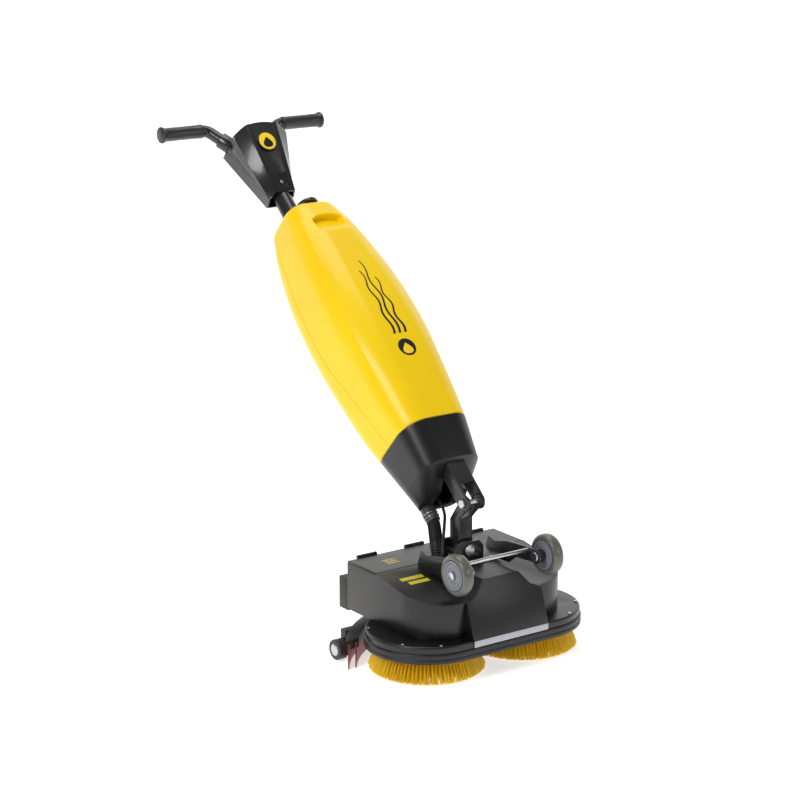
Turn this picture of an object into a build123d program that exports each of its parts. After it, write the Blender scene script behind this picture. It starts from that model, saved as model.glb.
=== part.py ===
"""Upright floor scrubber: a low deck on two disc brushes, with a leaning column above it that
carries the clean-water tank, the dirty-water tank, the console and a T-shaped handlebar.

Millimetres, +Z up. The origin lies on the floor, midway between the two brush centres. The front
of the machine faces -Y, and the operator stands on the +Y side.
"""
import os
from math import cos, radians, sin, sqrt

from build123d import *

os.makedirs("parts", exist_ok=True)

# ---- driving dimensions: brushes and deck ----
brush_pitch = 225.0          # between the two brush centres
bristle_tip_radius = 111.0   # flared tips, on the floor
bristle_root_radius = 96.0
bristle_height = 42.0
bristle_hole_radius = 40.0
disc_thickness = 12.0
hub_height = 9.0
shaft_radius = 7.0
running_gap = 0.05           # radial clearance of a shaft or pin that turns

bumper_radius = 119.5        # about each brush centre
bumper_bottom = 46.0
skirt_bottom = 66.0
skirt_top = 80.0
skirt_radius = 117.0
plate_thickness = 6.0

housing_half_width = 178.0
housing_front = -90.0
housing_rear = 170.0
housing_corner = 84.0
housing_top = 178.0
slope_start = 74.0           # the lid seam, where the top begins to fall towards the front
slope_end = -75.0
slope_drop = 28.0
housing_wall = 4.0
nose_top = 182.0
nose_foot_y = -118.0         # front of the nose panel at its foot
nose_head_y = -82.0          # and at its top edge
rear_cover_depth = 36.0
rear_cover_top = 140.0
rear_cover_bottom = 76.0

# ---- driving dimensions: transport wheels ----
wheel_x = 107.0
wheel_y = -89.0
wheel_z = 206.0
wheel_radius = 40.0
wheel_width = 23.0
arm_x = 81.0
arm_thickness = 4.0

# ---- driving dimensions: joint ----
tilt_y = 10.0
tilt_z = 304.0
tilt_pin_radius = 6.0
roll_z = 206.0
roll_pin_radius = 7.0

# ---- driving dimensions: squeegee ----
squeegee_radius = 285.0
squeegee_rear = 195.0        # where the arc is furthest back
squeegee_end = 70.0
squeegee_lift = 12.0
end_wheel_radius = 20.0
end_wheel_y = 129.0
end_wheel_x = 227.0

# ---- driving dimensions: column ----
lean = 48.0                  # degrees back from vertical, as the machine stands at work
column_foot = (0.0, 30.0, 290.0)
cup_bottom = 50.0            # along the column, as all lengths below
cup_rim = 168.0
tank_wall = 4.0
pole_radius = 19.0
pole_back = 46.0             # the pole's centre line, behind the column's line
pole_bottom = 97.0
pole_top = 922.0
console_bottom = 811.0
console_top = 970.0
bar_length = 940.0
grip_length = 1009.0
grip_back = 53.0
grip_inner = 86.0
grip_outer = 197.0
bar_radius = 12.5

column = Plane(origin=column_foot, x_dir=(1, 0, 0), z_dir=(0, sin(radians(lean)), cos(radians(lean))))
column_side = Plane(origin=column_foot, x_dir=column.y_dir, z_dir=(1, 0, 0))
column_face = Plane(origin=column_foot, x_dir=(1, 0, 0), z_dir=-column.y_dir)


def finish(piece, name):
    """Label a finished piece and write it."""
    piece.label = name
    export_step(piece, f"parts/{name}.step")


def on_column(x, back, length):
    """A point given by its sideways, rearward and lengthwise place on the column."""
    return column.from_local_coords((x, back, length))


def across_x(x, back, length):
    """A plane that faces +X, centred on a point of the column."""
    return Plane(origin=on_column(x, back, length), x_dir=column.y_dir, z_dir=(1, 0, 0))


# =============================== deck ===============================

with BuildPart() as deck_chassis:
    with BuildSketch(Plane.XY.offset(skirt_bottom)):
        SlotCenterToCenter(brush_pitch, 2 * (skirt_radius - 3.2))
        with GridLocations(brush_pitch, 1, 2, 1):
            Circle(26, mode=Mode.SUBTRACT)
    extrude(amount=plate_thickness)
finish(deck_chassis.part, "deck_chassis")

with BuildPart() as deck_skirt:
    with BuildSketch(Plane.XY.offset(skirt_bottom)):
        SlotCenterToCenter(brush_pitch, 2 * skirt_radius)
    extrude(amount=skirt_top - skirt_bottom)
    top_rim = deck_skirt.faces().sort_by(Axis.Z)[-1].outer_wire().edges()
    fillet(top_rim, 4)
    with BuildSketch(Plane.XY.offset(skirt_bottom)):
        SlotCenterToCenter(brush_pitch, 2 * (skirt_radius - 3))
    extrude(amount=skirt_top - skirt_bottom - 3, mode=Mode.SUBTRACT)
    with BuildSketch(Plane.XY.offset(skirt_top)):
        SlotCenterToCenter(brush_pitch, 2 * 56)
    extrude(amount=-4, mode=Mode.SUBTRACT)
finish(deck_skirt.part, "deck_skirt")

with BuildPart() as bumper_ring:
    with BuildSketch(Plane.XY.offset(bumper_bottom)):
        SlotCenterToCenter(brush_pitch, 2 * bumper_radius)
        SlotCenterToCenter(brush_pitch, 2 * (bumper_radius - 5.5), mode=Mode.SUBTRACT)
    extrude(amount=skirt_bottom - bumper_bottom)
    with BuildSketch(Plane.XY.offset(skirt_bottom - 4)):
        SlotCenterToCenter(brush_pitch, 2 * (bumper_radius - 5.5))
        SlotCenterToCenter(brush_pitch, 2 * (bumper_radius - 14), mode=Mode.SUBTRACT)
    extrude(amount=4)
finish(bumper_ring.part, "bumper_ring")


def housing_volume(inset):
    """The deck housing's outer body, or its hollow when inset by the wall."""
    with BuildPart() as base:
        with BuildSketch(Plane.XY.offset(skirt_top)):
            with BuildLine():
                FilletPolyline(
                    (housing_half_width - inset, housing_rear - inset),
                    (housing_half_width - inset, housing_front + inset),
                    (-housing_half_width + inset, housing_front + inset),
                    (-housing_half_width + inset, housing_rear - inset),
                    radius=housing_corner - inset,
                )
                Line(
                    (-housing_half_width + inset, housing_rear - inset),
                    (housing_half_width - inset, housing_rear - inset),
                )
            make_face()
        extrude(amount=housing_top - skirt_top - inset)
        with BuildSketch(Plane.YZ):
            with BuildLine():
                Polyline(
                    (housing_rear, skirt_top),
                    (housing_rear, housing_top - inset),
                    (slope_start, housing_top - inset),
                    (slope_end, housing_top - slope_drop - inset),
                    (housing_front, housing_top - slope_drop - 3 - inset),
                    (housing_front, skirt_top),
                    close=True,
                )
            make_face()
        extrude(amount=housing_half_width, both=True, mode=Mode.INTERSECT)
    return base.part


def nose_volume(inset):
    """The raised middle of the housing, which runs forward to the nose panel."""
    with BuildPart() as nose:
        with BuildSketch(Plane.XZ.offset(-slope_start)):
            with BuildLine():
                Polyline(
                    (-86 + inset, skirt_top),
                    (-86 + inset, 148 - inset),
                    (-62 + inset, 157 - inset),
                    (-40, nose_top - inset),
                    (40, nose_top - inset),
                    (62 - inset, 157 - inset),
                    (86 - inset, 148 - inset),
                    (86 - inset, skirt_top),
                    close=True,
                )
            make_face()
        extrude(amount=slope_start - nose_foot_y)
        with BuildSketch(Plane.YZ):
            with BuildLine():
                Polyline(
                    (nose_foot_y + 4 + inset, skirt_top),
                    (nose_head_y + 4 + inset, nose_top),
                    (slope_start - 0.6, nose_top),
                    (slope_start - 0.6, skirt_top),
                    close=True,
                )
            make_face()
        extrude(amount=90, both=True, mode=Mode.INTERSECT)
    return nose.part


lid_depth = 5.0
duct_x = -54.0               # the suction duct and the foot of the hose
duct_z = 122.0
port_radius = 11.0
port_y = 186.0
hose_deck_y = 46.0
hose_radius = 12.0
cable_x = -60.0
cable_deck_y = 22.0
cable_radius = 3.0

with BuildPart() as deck_housing:
    add(housing_volume(0))
    add(nose_volume(0))
    add(housing_volume(housing_wall), mode=Mode.SUBTRACT)
    add(nose_volume(housing_wall), mode=Mode.SUBTRACT)
    with BuildSketch(Plane.XY.offset(housing_top - lid_depth)):
        with Locations((0, (slope_start + housing_rear) / 2)):
            Rectangle(2 * housing_half_width + 2, housing_rear - slope_start + 0.6)
    extrude(amount=20, mode=Mode.SUBTRACT)
    with BuildSketch(Plane.XY.offset(skirt_top + 10)):
        with Locations((0, slope_start - 4)):
            Rectangle(2 * (housing_half_width - housing_wall) + 1, 6)
    extrude(amount=housing_top - lid_depth - skirt_top - 11)
    with Locations((0, housing_rear - housing_wall, skirt_top)):
        Box(2 * (housing_half_width - housing_wall) + 1, 52, 3,
            align=(Align.CENTER, Align.MAX, Align.MIN))
    with Locations(Plane(origin=(duct_x, housing_rear, duct_z), z_dir=(0, 1, 0))):
        Cylinder(18.2, 30, mode=Mode.SUBTRACT)
    with Locations(Plane(origin=(duct_x, slope_start, duct_z), z_dir=(0, 1, 0))):
        Cylinder(18.2, 30, mode=Mode.SUBTRACT)
    with Locations((duct_x, hose_deck_y, 168)):
        Cylinder(hose_radius + 5, 13.5, align=(Align.CENTER, Align.CENTER, Align.MIN))
        Cylinder(hose_radius + 0.3, 60, mode=Mode.SUBTRACT)
    with Locations((cable_x, cable_deck_y, 162)):
        Cylinder(cable_radius + 4, 14, align=(Align.CENTER, Align.CENTER, Align.MIN))
        Cylinder(cable_radius + 0.3, 60, mode=Mode.SUBTRACT)
finish(deck_housing.part, "deck_housing")

hinge_y = housing_rear + 3.5
hinge_z = housing_top + 0.5
knuckle_radius = 4.0
hinge_pin_radius = 1.6

with BuildPart() as battery_lid:
    with BuildSketch(Plane.XY.offset(housing_top - lid_depth + 0.4)):
        with Locations((0, (slope_start + 0.6 + housing_rear - 0.4) / 2)):
            Rectangle(2 * housing_half_width - 1, housing_rear - slope_start - 1.0)
    extrude(amount=lid_depth - 0.4)
    fillet(battery_lid.faces().sort_by(Axis.Z)[-1].edges(), 2)
    with BuildSketch(Plane.XY.offset(housing_top - lid_depth + 0.4)):
        with Locations((0, (slope_start + housing_rear) / 2)):
            Rectangle(2 * (housing_half_width - 8), housing_rear - slope_start - 16)
            Rectangle(2 * (housing_half_width - 11), housing_rear - slope_start - 22, mode=Mode.SUBTRACT)
    extrude(amount=-6)
    for x in (-130, -17, 130):
        with Locations(Plane(origin=(x, hinge_y, hinge_z), z_dir=(1, 0, 0))):
            Cylinder(knuckle_radius, 26)
        with Locations((x, housing_rear - 2, housing_top)):
            Box(26, 8, 3.5, align=(Align.CENTER, Align.CENTER, Align.MAX))
        with Locations(Plane(origin=(x, hinge_y, hinge_z), z_dir=(1, 0, 0))):
            Cylinder(hinge_pin_radius + running_gap, 30, mode=Mode.SUBTRACT)
finish(battery_lid.part, "battery_lid")

with BuildPart() as lid_hinges:
    for x in (-130, -17, 130):
        for side in (-1, 1):
            with Locations(Plane(origin=(x + side * 18, hinge_y, hinge_z), z_dir=(1, 0, 0))):
                Cylinder(knuckle_radius, 9)
            with Locations((x + side * 18, housing_rear + 0.1, hinge_z)):
                Box(9, 5, 16, align=(Align.CENTER, Align.MIN, Align.MAX))
        with Locations(Plane(origin=(x, hinge_y, hinge_z), z_dir=(1, 0, 0))):
            Cylinder(hinge_pin_radius, 45)
finish(lid_hinges.part, "lid_hinges")

panel_points = [
    (-89, skirt_bottom), (-89, 146), (-64, 157), (-42, nose_top + 1),
    (42, nose_top + 1), (64, 157), (89, 146), (89, skirt_bottom),
]
panel_rise = nose_top - skirt_top
panel_lean = (nose_head_y - nose_foot_y) / panel_rise

with BuildPart() as front_panel:
    with BuildSketch(Plane.XZ):
        with BuildLine():
            Polyline(*panel_points, close=True)
        make_face()
    extrude(amount=140)
    with BuildSketch(Plane.YZ):
        with BuildLine():
            Polyline(
                (nose_foot_y, skirt_bottom),
                (nose_foot_y, skirt_top),
                (nose_head_y, nose_top + 1),
                (nose_head_y + 3.7, nose_top + 1),
                (nose_foot_y + 3.7, skirt_top + 0.3),
                (nose_foot_y + 3.7, skirt_top),
                (nose_foot_y + 0.8, skirt_top),
                (nose_foot_y + 0.8, skirt_bottom),
                close=True,
            )
        make_face()
    extrude(amount=90, both=True, mode=Mode.INTERSECT)
finish(front_panel.part, "front_panel")

guide_x = 80.0
guide_y = squeegee_rear - squeegee_radius + sqrt(squeegee_radius**2 - guide_x**2)
guide_pin_radius = 5.0
strip_bottom = 67.0
strip_height = 12.0

with BuildPart() as reflective_strip:
    with Locations((0, nose_foot_y, strip_bottom)):
        Box(176, 1.2, strip_height, align=(Align.CENTER, Align.MAX, Align.MIN))
finish(reflective_strip.part, "reflective_strip")

with BuildPart() as rear_cover:
    with BuildSketch(Plane.YZ):
        with BuildLine():
            Polyline(
                (housing_rear + 0.3, rear_cover_bottom),
                (housing_rear + rear_cover_depth, rear_cover_bottom),
                (housing_rear + rear_cover_depth, rear_cover_top),
                (housing_rear + 0.3, rear_cover_top),
                close=True,
            )
        make_face()
    extrude(amount=housing_half_width - 1, both=True)
    back_edges = rear_cover.faces().sort_by(Axis.Y)[-1].edges()
    fillet(back_edges, 9)
    with BuildSketch(Plane.YZ):
        with Locations((housing_rear + 16, (rear_cover_bottom + rear_cover_top) / 2)):
            Rectangle(33, rear_cover_top - rear_cover_bottom - 6)
    extrude(amount=housing_half_width - 5, both=True, mode=Mode.SUBTRACT)
    for x in (-guide_x, guide_x):
        with Locations((x, guide_y, rear_cover_bottom)):
            Cylinder(10, 44, align=(Align.CENTER, Align.CENTER, Align.MIN))
            Cylinder(guide_pin_radius + running_gap, 100, mode=Mode.SUBTRACT)
    with Locations((duct_x, port_y, rear_cover_bottom)):
        Cylinder(port_radius + 1.5, 20, mode=Mode.SUBTRACT)
finish(rear_cover.part, "rear_cover")

# ---- inside the deck ----

motor_radius = 40.0
gearbox_height = 22.0
gearbox_bottom = skirt_bottom + plate_thickness

with BuildPart() as brush_gearboxes:
    with GridLocations(brush_pitch, 1, 2, 1):
        with Locations((0, 0, gearbox_bottom)):
            Cylinder(48, gearbox_height, align=(Align.CENTER, Align.CENTER, Align.MIN))
            Cylinder(shaft_radius + running_gap, 14, align=(Align.CENTER, Align.CENTER, Align.MIN),
                     mode=Mode.SUBTRACT)
finish(brush_gearboxes.part, "brush_gearboxes")

with BuildPart() as brush_motors:
    with GridLocations(brush_pitch, 1, 2, 1):
        with Locations((0, 0, gearbox_bottom + gearbox_height)):
            Cylinder(motor_radius, 46, align=(Align.CENTER, Align.CENTER, Align.MIN))
            Cylinder(16, 51, align=(Align.CENTER, Align.CENTER, Align.MIN))
finish(brush_motors.part, "brush_motors")

with BuildPart() as battery_pack:
    with Locations((71, 118, skirt_top + 5)):
        Box(150, 70, 80, align=(Align.CENTER, Align.CENTER, Align.MIN))
    fillet(battery_pack.edges().filter_by(Axis.Z), 5)
finish(battery_pack.part, "battery_pack")

with BuildPart() as control_board:
    with Locations((0, -20, skirt_top + 24)):
        Box(70, 90, 2)
        with Locations((-14, 12, 7)):
            Box(30, 40, 12)
        with Locations((18, -20, 5)):
            Box(22, 26, 8)
    with GridLocations(60, 80, 2, 2):
        with Locations((0, -20, skirt_top + 11.5)):
            Cylinder(4, 23)
finish(control_board.part, "control_board")

with BuildPart() as suction_duct:
    for wall, mode in ((0, Mode.ADD), (2, Mode.SUBTRACT)):
        with Locations((duct_x, port_y + 14 - wall, duct_z)):
            Box(28 - 2 * wall, port_y - hose_deck_y + 28 - 2 * wall, 22 - 2 * wall,
                align=(Align.CENTER, Align.MAX, Align.CENTER), mode=mode)
        radius = port_radius + 2.4 - wall
        with Locations((duct_x, port_y, 86)):
            Cylinder(radius, duct_z - 86, align=(Align.CENTER, Align.CENTER, Align.MIN), mode=mode)
        with Locations((duct_x, hose_deck_y, duct_z)):
            Cylinder(radius, 40, align=(Align.CENTER, Align.CENTER, Align.MIN), mode=mode)
finish(suction_duct.part, "suction_duct")

# =============================== brushes ===============================

for name, side in (("left", -1), ("right", 1)):
    brush_x = side * brush_pitch / 2
    with BuildPart() as bristles:
        with BuildSketch(Plane(origin=(brush_x, 0, 0), x_dir=(1, 0, 0), z_dir=(0, -1, 0))):
            with BuildLine():
                Line((bristle_hole_radius + 4, 0), (bristle_tip_radius, 0))
                Line((bristle_tip_radius, 0), (bristle_root_radius, bristle_height))
                Line((bristle_root_radius, bristle_height), (bristle_hole_radius, bristle_height))
                Line((bristle_hole_radius, bristle_height), (bristle_hole_radius + 4, 0))
            make_face()
        revolve(axis=Axis((brush_x, 0, 0), (0, 0, 1)))
    finish(bristles.part, f"bristles_{name}")

    with BuildPart() as disc:
        with Locations((brush_x, 0, bristle_height)):
            Cylinder(bristle_root_radius + 1.5, disc_thickness,
                     align=(Align.CENTER, Align.CENTER, Align.MIN))
            Cylinder(13, disc_thickness, align=(Align.CENTER, Align.CENTER, Align.MIN), mode=Mode.SUBTRACT)
        fillet(disc.faces().sort_by(Axis.Z)[-1].outer_wire().edges(), 3)
    finish(disc.part, f"brush_disc_{name}")

    with BuildPart() as hub:
        with Locations((brush_x, 0, bristle_height)):
            Cylinder(13, disc_thickness, align=(Align.CENTER, Align.CENTER, Align.MIN))
        with Locations((brush_x, 0, bristle_height + disc_thickness)):
            Cylinder(22, hub_height, align=(Align.CENTER, Align.CENTER, Align.MIN))
            Cylinder(shaft_radius, 30, align=(Align.CENTER, Align.CENTER, Align.MIN))
    finish(hub.part, f"drive_hub_{name}")

# =============================== transport wheels ===============================

with BuildPart() as wheel_bracket:
    with BuildSketch(Plane.YZ.offset(arm_x)):
        with BuildLine():
            Polyline(
                (70, 180), (60, 209), (40, 204), (0, 214), (-70, 219), (-89, 219), (-102, 206),
                (-97, 194), (-27, 189), (-5, 172), (20, 172), (70, 178),
                close=True,
            )
        make_face()
        with Locations((wheel_y, wheel_z)):
            Circle(13)
    extrude(amount=arm_thickness / 2, both=True)
    with Locations(Plane(origin=(arm_x + 2, wheel_y, wheel_z), z_dir=(1, 0, 0))):
        Cylinder(12.5, 11, align=(Align.CENTER, Align.CENTER, Align.MIN))
    with Locations((arm_x - 6, 36, nose_top + 0.3)):
        Box(16, 66, 4, align=(Align.CENTER, Align.CENTER, Align.MIN))
    with Locations(Plane(origin=(arm_x, wheel_y, wheel_z), z_dir=(1, 0, 0))):
        Cylinder(6, 60, mode=Mode.SUBTRACT)
    mirror(about=Plane.YZ)
    with Locations((0, 36, nose_top + 0.3)):
        Box(140, 66, 4, align=(Align.CENTER, Align.CENTER, Align.MIN))
    with Locations((-57.5, 37, nose_top)):
        Box(37, 56, 20, mode=Mode.SUBTRACT)
finish(wheel_bracket.part, "wheel_bracket")

with BuildPart() as cross_rod:
    with Locations(Plane(origin=(0, -66, 214), z_dir=(1, 0, 0))):
        Cylinder(4, 2 * arm_x - arm_thickness)
finish(cross_rod.part, "cross_rod")

with BuildPart() as wheel_bolts:
    with Locations(Plane(origin=(arm_x - 2, wheel_y, wheel_z), z_dir=(1, 0, 0))):
        Cylinder(9, 5, align=(Align.CENTER, Align.CENTER, Align.MAX))
        Cylinder(6, wheel_x - arm_x + wheel_width / 2 + 3, align=(Align.CENTER, Align.CENTER, Align.MIN))
    with Locations(Plane(origin=(wheel_x + wheel_width / 2 + 1, wheel_y, wheel_z), z_dir=(1, 0, 0))):
        Cylinder(8, 3, align=(Align.CENTER, Align.CENTER, Align.MIN))
    mirror(about=Plane.YZ)
finish(wheel_bolts.part, "wheel_bolts")

tyre_inner_radius = 28.5

for name, side in (("left", -1), ("right", 1)):
    wheel_centre = Plane(origin=(side * wheel_x, wheel_y, wheel_z), x_dir=(0, 1, 0), z_dir=(1, 0, 0))
    with BuildPart() as tyre:
        with BuildSketch(wheel_centre):
            Circle(wheel_radius)
            Circle(tyre_inner_radius, mode=Mode.SUBTRACT)
        extrude(amount=wheel_width / 2, both=True)
        rims = tyre.edges().filter_by(GeomType.CIRCLE).sort_by(SortBy.RADIUS)[-2:]
        fillet(rims, 7)
    finish(tyre.part, f"wheel_tyre_{name}")

    with BuildPart() as hub:
        with BuildSketch(wheel_centre):
            Circle(tyre_inner_radius)
            Circle(6 + running_gap, mode=Mode.SUBTRACT)
        extrude(amount=wheel_width / 2, both=True)
        with BuildSketch(wheel_centre.offset(side * wheel_width / 2)):
            Circle(tyre_inner_radius - 5)
            Circle(12, mode=Mode.SUBTRACT)
        extrude(amount=-side * 3, mode=Mode.SUBTRACT)
    finish(hub.part, f"wheel_hub_{name}")

# =============================== swivel joint ===============================

lug_front = 18.0
lug_rear = 62.0
lug_thickness = 6.0
bracket_top = nose_top + 4.3

with BuildPart() as base_yoke:
    with BuildSketch(Plane.XZ.offset(-lug_rear - lug_thickness)):
        with BuildLine():
            Polyline(
                (-36, bracket_top), (-36, 209), (-26, 222), (26, 222), (36, 209), (36, bracket_top),
                close=True,
            )
        make_face()
    extrude(amount=lug_rear + lug_thickness - lug_front)
    with Locations((0, (lug_front + lug_rear + lug_thickness) / 2, bracket_top + 2)):
        Box(64, lug_rear - lug_front - lug_thickness, 60, align=(Align.CENTER, Align.CENTER, Align.MIN),
            mode=Mode.SUBTRACT)
    with Locations(Plane(origin=(0, 0, roll_z), z_dir=(0, 1, 0))):
        Cylinder(roll_pin_radius, 200, mode=Mode.SUBTRACT)
finish(base_yoke.part, "base_yoke")

with BuildPart() as roll_pin:
    with Locations(Plane(origin=(0, lug_front, roll_z), z_dir=(0, 1, 0))):
        Cylinder(roll_pin_radius, lug_rear + lug_thickness - lug_front,
                 align=(Align.CENTER, Align.CENTER, Align.MIN))
        Cylinder(11, 5, align=(Align.CENTER, Align.CENTER, Align.MAX))
    with Locations(Plane(origin=(0, lug_rear + lug_thickness, roll_z), z_dir=(0, 1, 0))):
        Cylinder(11, 5, align=(Align.CENTER, Align.CENTER, Align.MIN))
finish(roll_pin.part, "roll_pin")

with BuildPart() as deck_fasteners:
    for angle in (-150, -112, -68, -30, 30, 150):
        side = 1 if cos(radians(angle)) > 0 else -1
        reach = skirt_radius - 7
        with Locations((side * brush_pitch / 2 + reach * cos(radians(angle)),
                        reach * sin(radians(angle)), skirt_top)):
            Cylinder(3.5, 2, align=(Align.CENTER, Align.CENTER, Align.MIN))
    for side in (-1, 1):
        for y in (32, 54):
            with Locations(Plane(origin=(side * 36, y, 198), z_dir=(side, 0, 0))):
                Cylinder(5, 3.5, align=(Align.CENTER, Align.CENTER, Align.MIN))
    with GridLocations(90, 0, 2, 1):
        with Locations((0, 6.2, bracket_top), (0, 66, bracket_top)):
            Cylinder(2.5, 3, align=(Align.CENTER, Align.CENTER, Align.MIN))
finish(deck_fasteners.part, "deck_fasteners")

yoke_front = lug_front + lug_thickness + 1.0
yoke_rear = lug_rear - 1.0
yoke_half_width = 16.0
cheek_thickness = 4.0
ear_radius = 14.0

with BuildPart() as swivel_yoke:
    with BuildSketch(Plane.YZ):
        with BuildLine():
            Polyline(
                (tilt_y - 13.5, tilt_z - 3.6), (yoke_front + 3, 268), (yoke_front + 3, roll_z),
                (yoke_rear - 4, roll_z), (yoke_rear - 4, 262), (tilt_y + 12.6, tilt_z + 6),
                close=True,
            )
        make_face()
        with Locations((tilt_y, tilt_z)):
            Circle(ear_radius)
    extrude(amount=yoke_half_width, both=True)
    with Locations((0, 0, roll_z + 17)):
        Box(2 * (yoke_half_width - cheek_thickness), 200, 150,
            align=(Align.CENTER, Align.CENTER, Align.MIN), mode=Mode.SUBTRACT)
    with Locations(Plane(origin=(0, yoke_front, roll_z), z_dir=(0, 1, 0))):
        Cylinder(yoke_half_width + 0.5, yoke_rear - yoke_front,
                 align=(Align.CENTER, Align.CENTER, Align.MIN))
    with Locations((0, yoke_front + 3, 226)):
        Box(2 * yoke_half_width, 4, 42, align=(Align.CENTER, Align.MIN, Align.MIN))
    with Locations(Plane(origin=(0, 0, roll_z), z_dir=(0, 1, 0))):
        Cylinder(roll_pin_radius + running_gap, 200, mode=Mode.SUBTRACT)
    with Locations(Plane(origin=(0, tilt_y, tilt_z), z_dir=(1, 0, 0))):
        Cylinder(tilt_pin_radius + running_gap, 100, mode=Mode.SUBTRACT)
finish(swivel_yoke.part, "swivel_yoke")

# =============================== column ===============================

tilt_back = column.to_local_coords(Vector(0, tilt_y, tilt_z)).Y
tilt_length = column.to_local_coords(Vector(0, tilt_y, tilt_z)).Z
channel_gap = 0.6
channel_thickness = 4.0
channel_outer = yoke_half_width + channel_gap + channel_thickness
channel_front = tilt_back - 16.0
channel_rear = tilt_back + 16.0

with BuildPart() as tilt_bracket:
    with BuildSketch(column_side):
        with Locations(((channel_front + channel_rear) / 2, (tilt_length + pole_bottom) / 2)):
            Rectangle(channel_rear - channel_front, pole_bottom - tilt_length)
        with Locations((tilt_back, tilt_length)):
            Circle(16)
    extrude(amount=channel_outer, both=True)
    with BuildSketch(column_side):
        with Locations((0, (pole_bottom - 6 + tilt_length) / 2 - 100)):
            Rectangle(200, pole_bottom - 6 - tilt_length + 200)
    extrude(amount=channel_outer - channel_thickness, both=True, mode=Mode.SUBTRACT)
    with BuildSketch(column_side):
        with Locations((channel_front + 2, (30 + pole_bottom) / 2)):
            Rectangle(4, pole_bottom - 30)
    extrude(amount=channel_outer, both=True)
    with BuildSketch(column.offset(pole_bottom)):
        with Locations((0, (channel_front + pole_back + pole_radius + 4) / 2)):
            Rectangle(2 * channel_outer, pole_back + pole_radius + 4 - channel_front)
    extrude(amount=-6)
    with Locations(across_x(0, tilt_back, tilt_length)):
        Cylinder(tilt_pin_radius, 100, mode=Mode.SUBTRACT)
finish(tilt_bracket.part, "tilt_bracket")

with BuildPart() as tilt_pin:
    with Locations(across_x(0, tilt_back, tilt_length)):
        Cylinder(tilt_pin_radius, 2 * channel_outer)
    for side in (-1, 1):
        with Locations(across_x(side * (channel_outer + 2.5), tilt_back, tilt_length)):
            Cylinder(8.5, 5)
finish(tilt_pin.part, "tilt_pin")


def section(length, half_width, front, back, corner, inset=0.0):
    """A rounded cross-section of the column's casing."""
    with BuildSketch(column.offset(length)) as outline:
        with Locations((0, (back - front) / 2)):
            RectangleRounded(2 * (half_width - inset), front + back - 2 * inset, corner - inset)
    return outline.sketch


cup_sections = (
    (cup_bottom, 54, -18, 85, 32),
    (84, 70, 48, 82, 42),
    (cup_rim, 80, 67, 99, 50),
)


def cup_volume(inset):
    """The motor cup's outer body, or its hollow when inset by the wall."""
    with BuildPart() as cup:
        for number, (length, half_width, front, back, corner) in enumerate(cup_sections):
            lift = inset if number == 0 else 0
            add(section(length + lift, half_width, front, back, corner, inset))
        loft(ruled=True)
    return cup.part


hose_back = 70.0
hose_cup_x = -30.0

with BuildPart() as motor_cup:
    add(cup_volume(0))
    add(cup_volume(4), mode=Mode.SUBTRACT)
    with BuildSketch(column.offset(0)):
        with Locations((0, (channel_front + pole_back + pole_radius + 4) / 2)):
            Rectangle(2 * channel_outer + 1, pole_back + pole_radius + 5 - channel_front)
        with Locations((hose_cup_x, hose_back)):
            Circle(hose_radius + 0.3)
    extrude(amount=pole_bottom + 1, mode=Mode.SUBTRACT)
finish(motor_cup.part, "motor_cup")

with BuildPart() as cup_cover:
    add(cup_volume(4.3))
    with BuildSketch(column.offset(cup_rim - 4)):
        Rectangle(400, 400)
    extrude(amount=10, mode=Mode.INTERSECT)
    with Locations(Plane(origin=on_column(0, pole_back, cup_rim), z_dir=column.z_dir)):
        Cylinder(pole_radius + 0.2, 40, mode=Mode.SUBTRACT)
finish(cup_cover.part, "cup_cover")

with BuildPart() as vacuum_motor:
    with Locations(Plane(origin=on_column(0, -9, pole_bottom + 1), x_dir=(1, 0, 0), z_dir=column.z_dir)):
        Cylinder(34, 48, align=(Align.CENTER, Align.CENTER, Align.MIN))
        Cylinder(24, 60, align=(Align.CENTER, Align.CENTER, Align.MIN))
finish(vacuum_motor.part, "vacuum_motor")

with BuildPart() as column_tube:
    with BuildSketch(column.offset(pole_bottom)):
        with Locations((0, pole_back)):
            Circle(pole_radius)
            Circle(pole_radius - 1.8, mode=Mode.SUBTRACT)
    extrude(amount=pole_top - pole_bottom)
finish(column_tube.part, "column_tube")

# ---- tanks ----

tank_sections = (
    (cup_rim + 1.0, 80.5, 67.0, 100.0, 50),
    (215, 86, 71, 109, 54),
    (300, 92, 77, 116, 57),
    (400, 95, 82, 124, 60),
    (500, 91, 79, 126, 58),
    (600, 80, 68, 121, 53),
    (680, 67, 54, 106, 46),
    (735, 56, 38, 84, 38),
)
seam_points = ((100, 10), (168, 17), (271, 31), (400, 55), (500, 60), (650, 58), (800, 50))
seam_gap = 0.6


def tank_pair_volume(inset):
    """Both tanks as one body, or their hollow when inset by the wall."""
    first, last = 0, len(tank_sections) - 1
    with BuildPart() as pair:
        for number, (length, half_width, front, back, corner) in enumerate(tank_sections):
            shift = inset if number == first else -inset if number == last else 0
            add(section(length + shift, half_width, front, back, corner, inset))
        loft()
    return pair.part


def seam_side(side, margin):
    """All that lies ahead of the seam (side -1) or behind it (side 1), kept back by the margin."""
    far = side * 300
    with BuildPart() as block:
        with BuildSketch(column_side):
            with BuildLine():
                edge = Spline(*[(back + side * margin, length) for length, back in seam_points])
                Polyline(edge @ 1, (far, seam_points[-1][0]), (far, seam_points[0][0]), edge @ 0)
            make_face()
        extrude(amount=150, both=True)
    return block.part


pole_slot = pole_radius + 1.5


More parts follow.
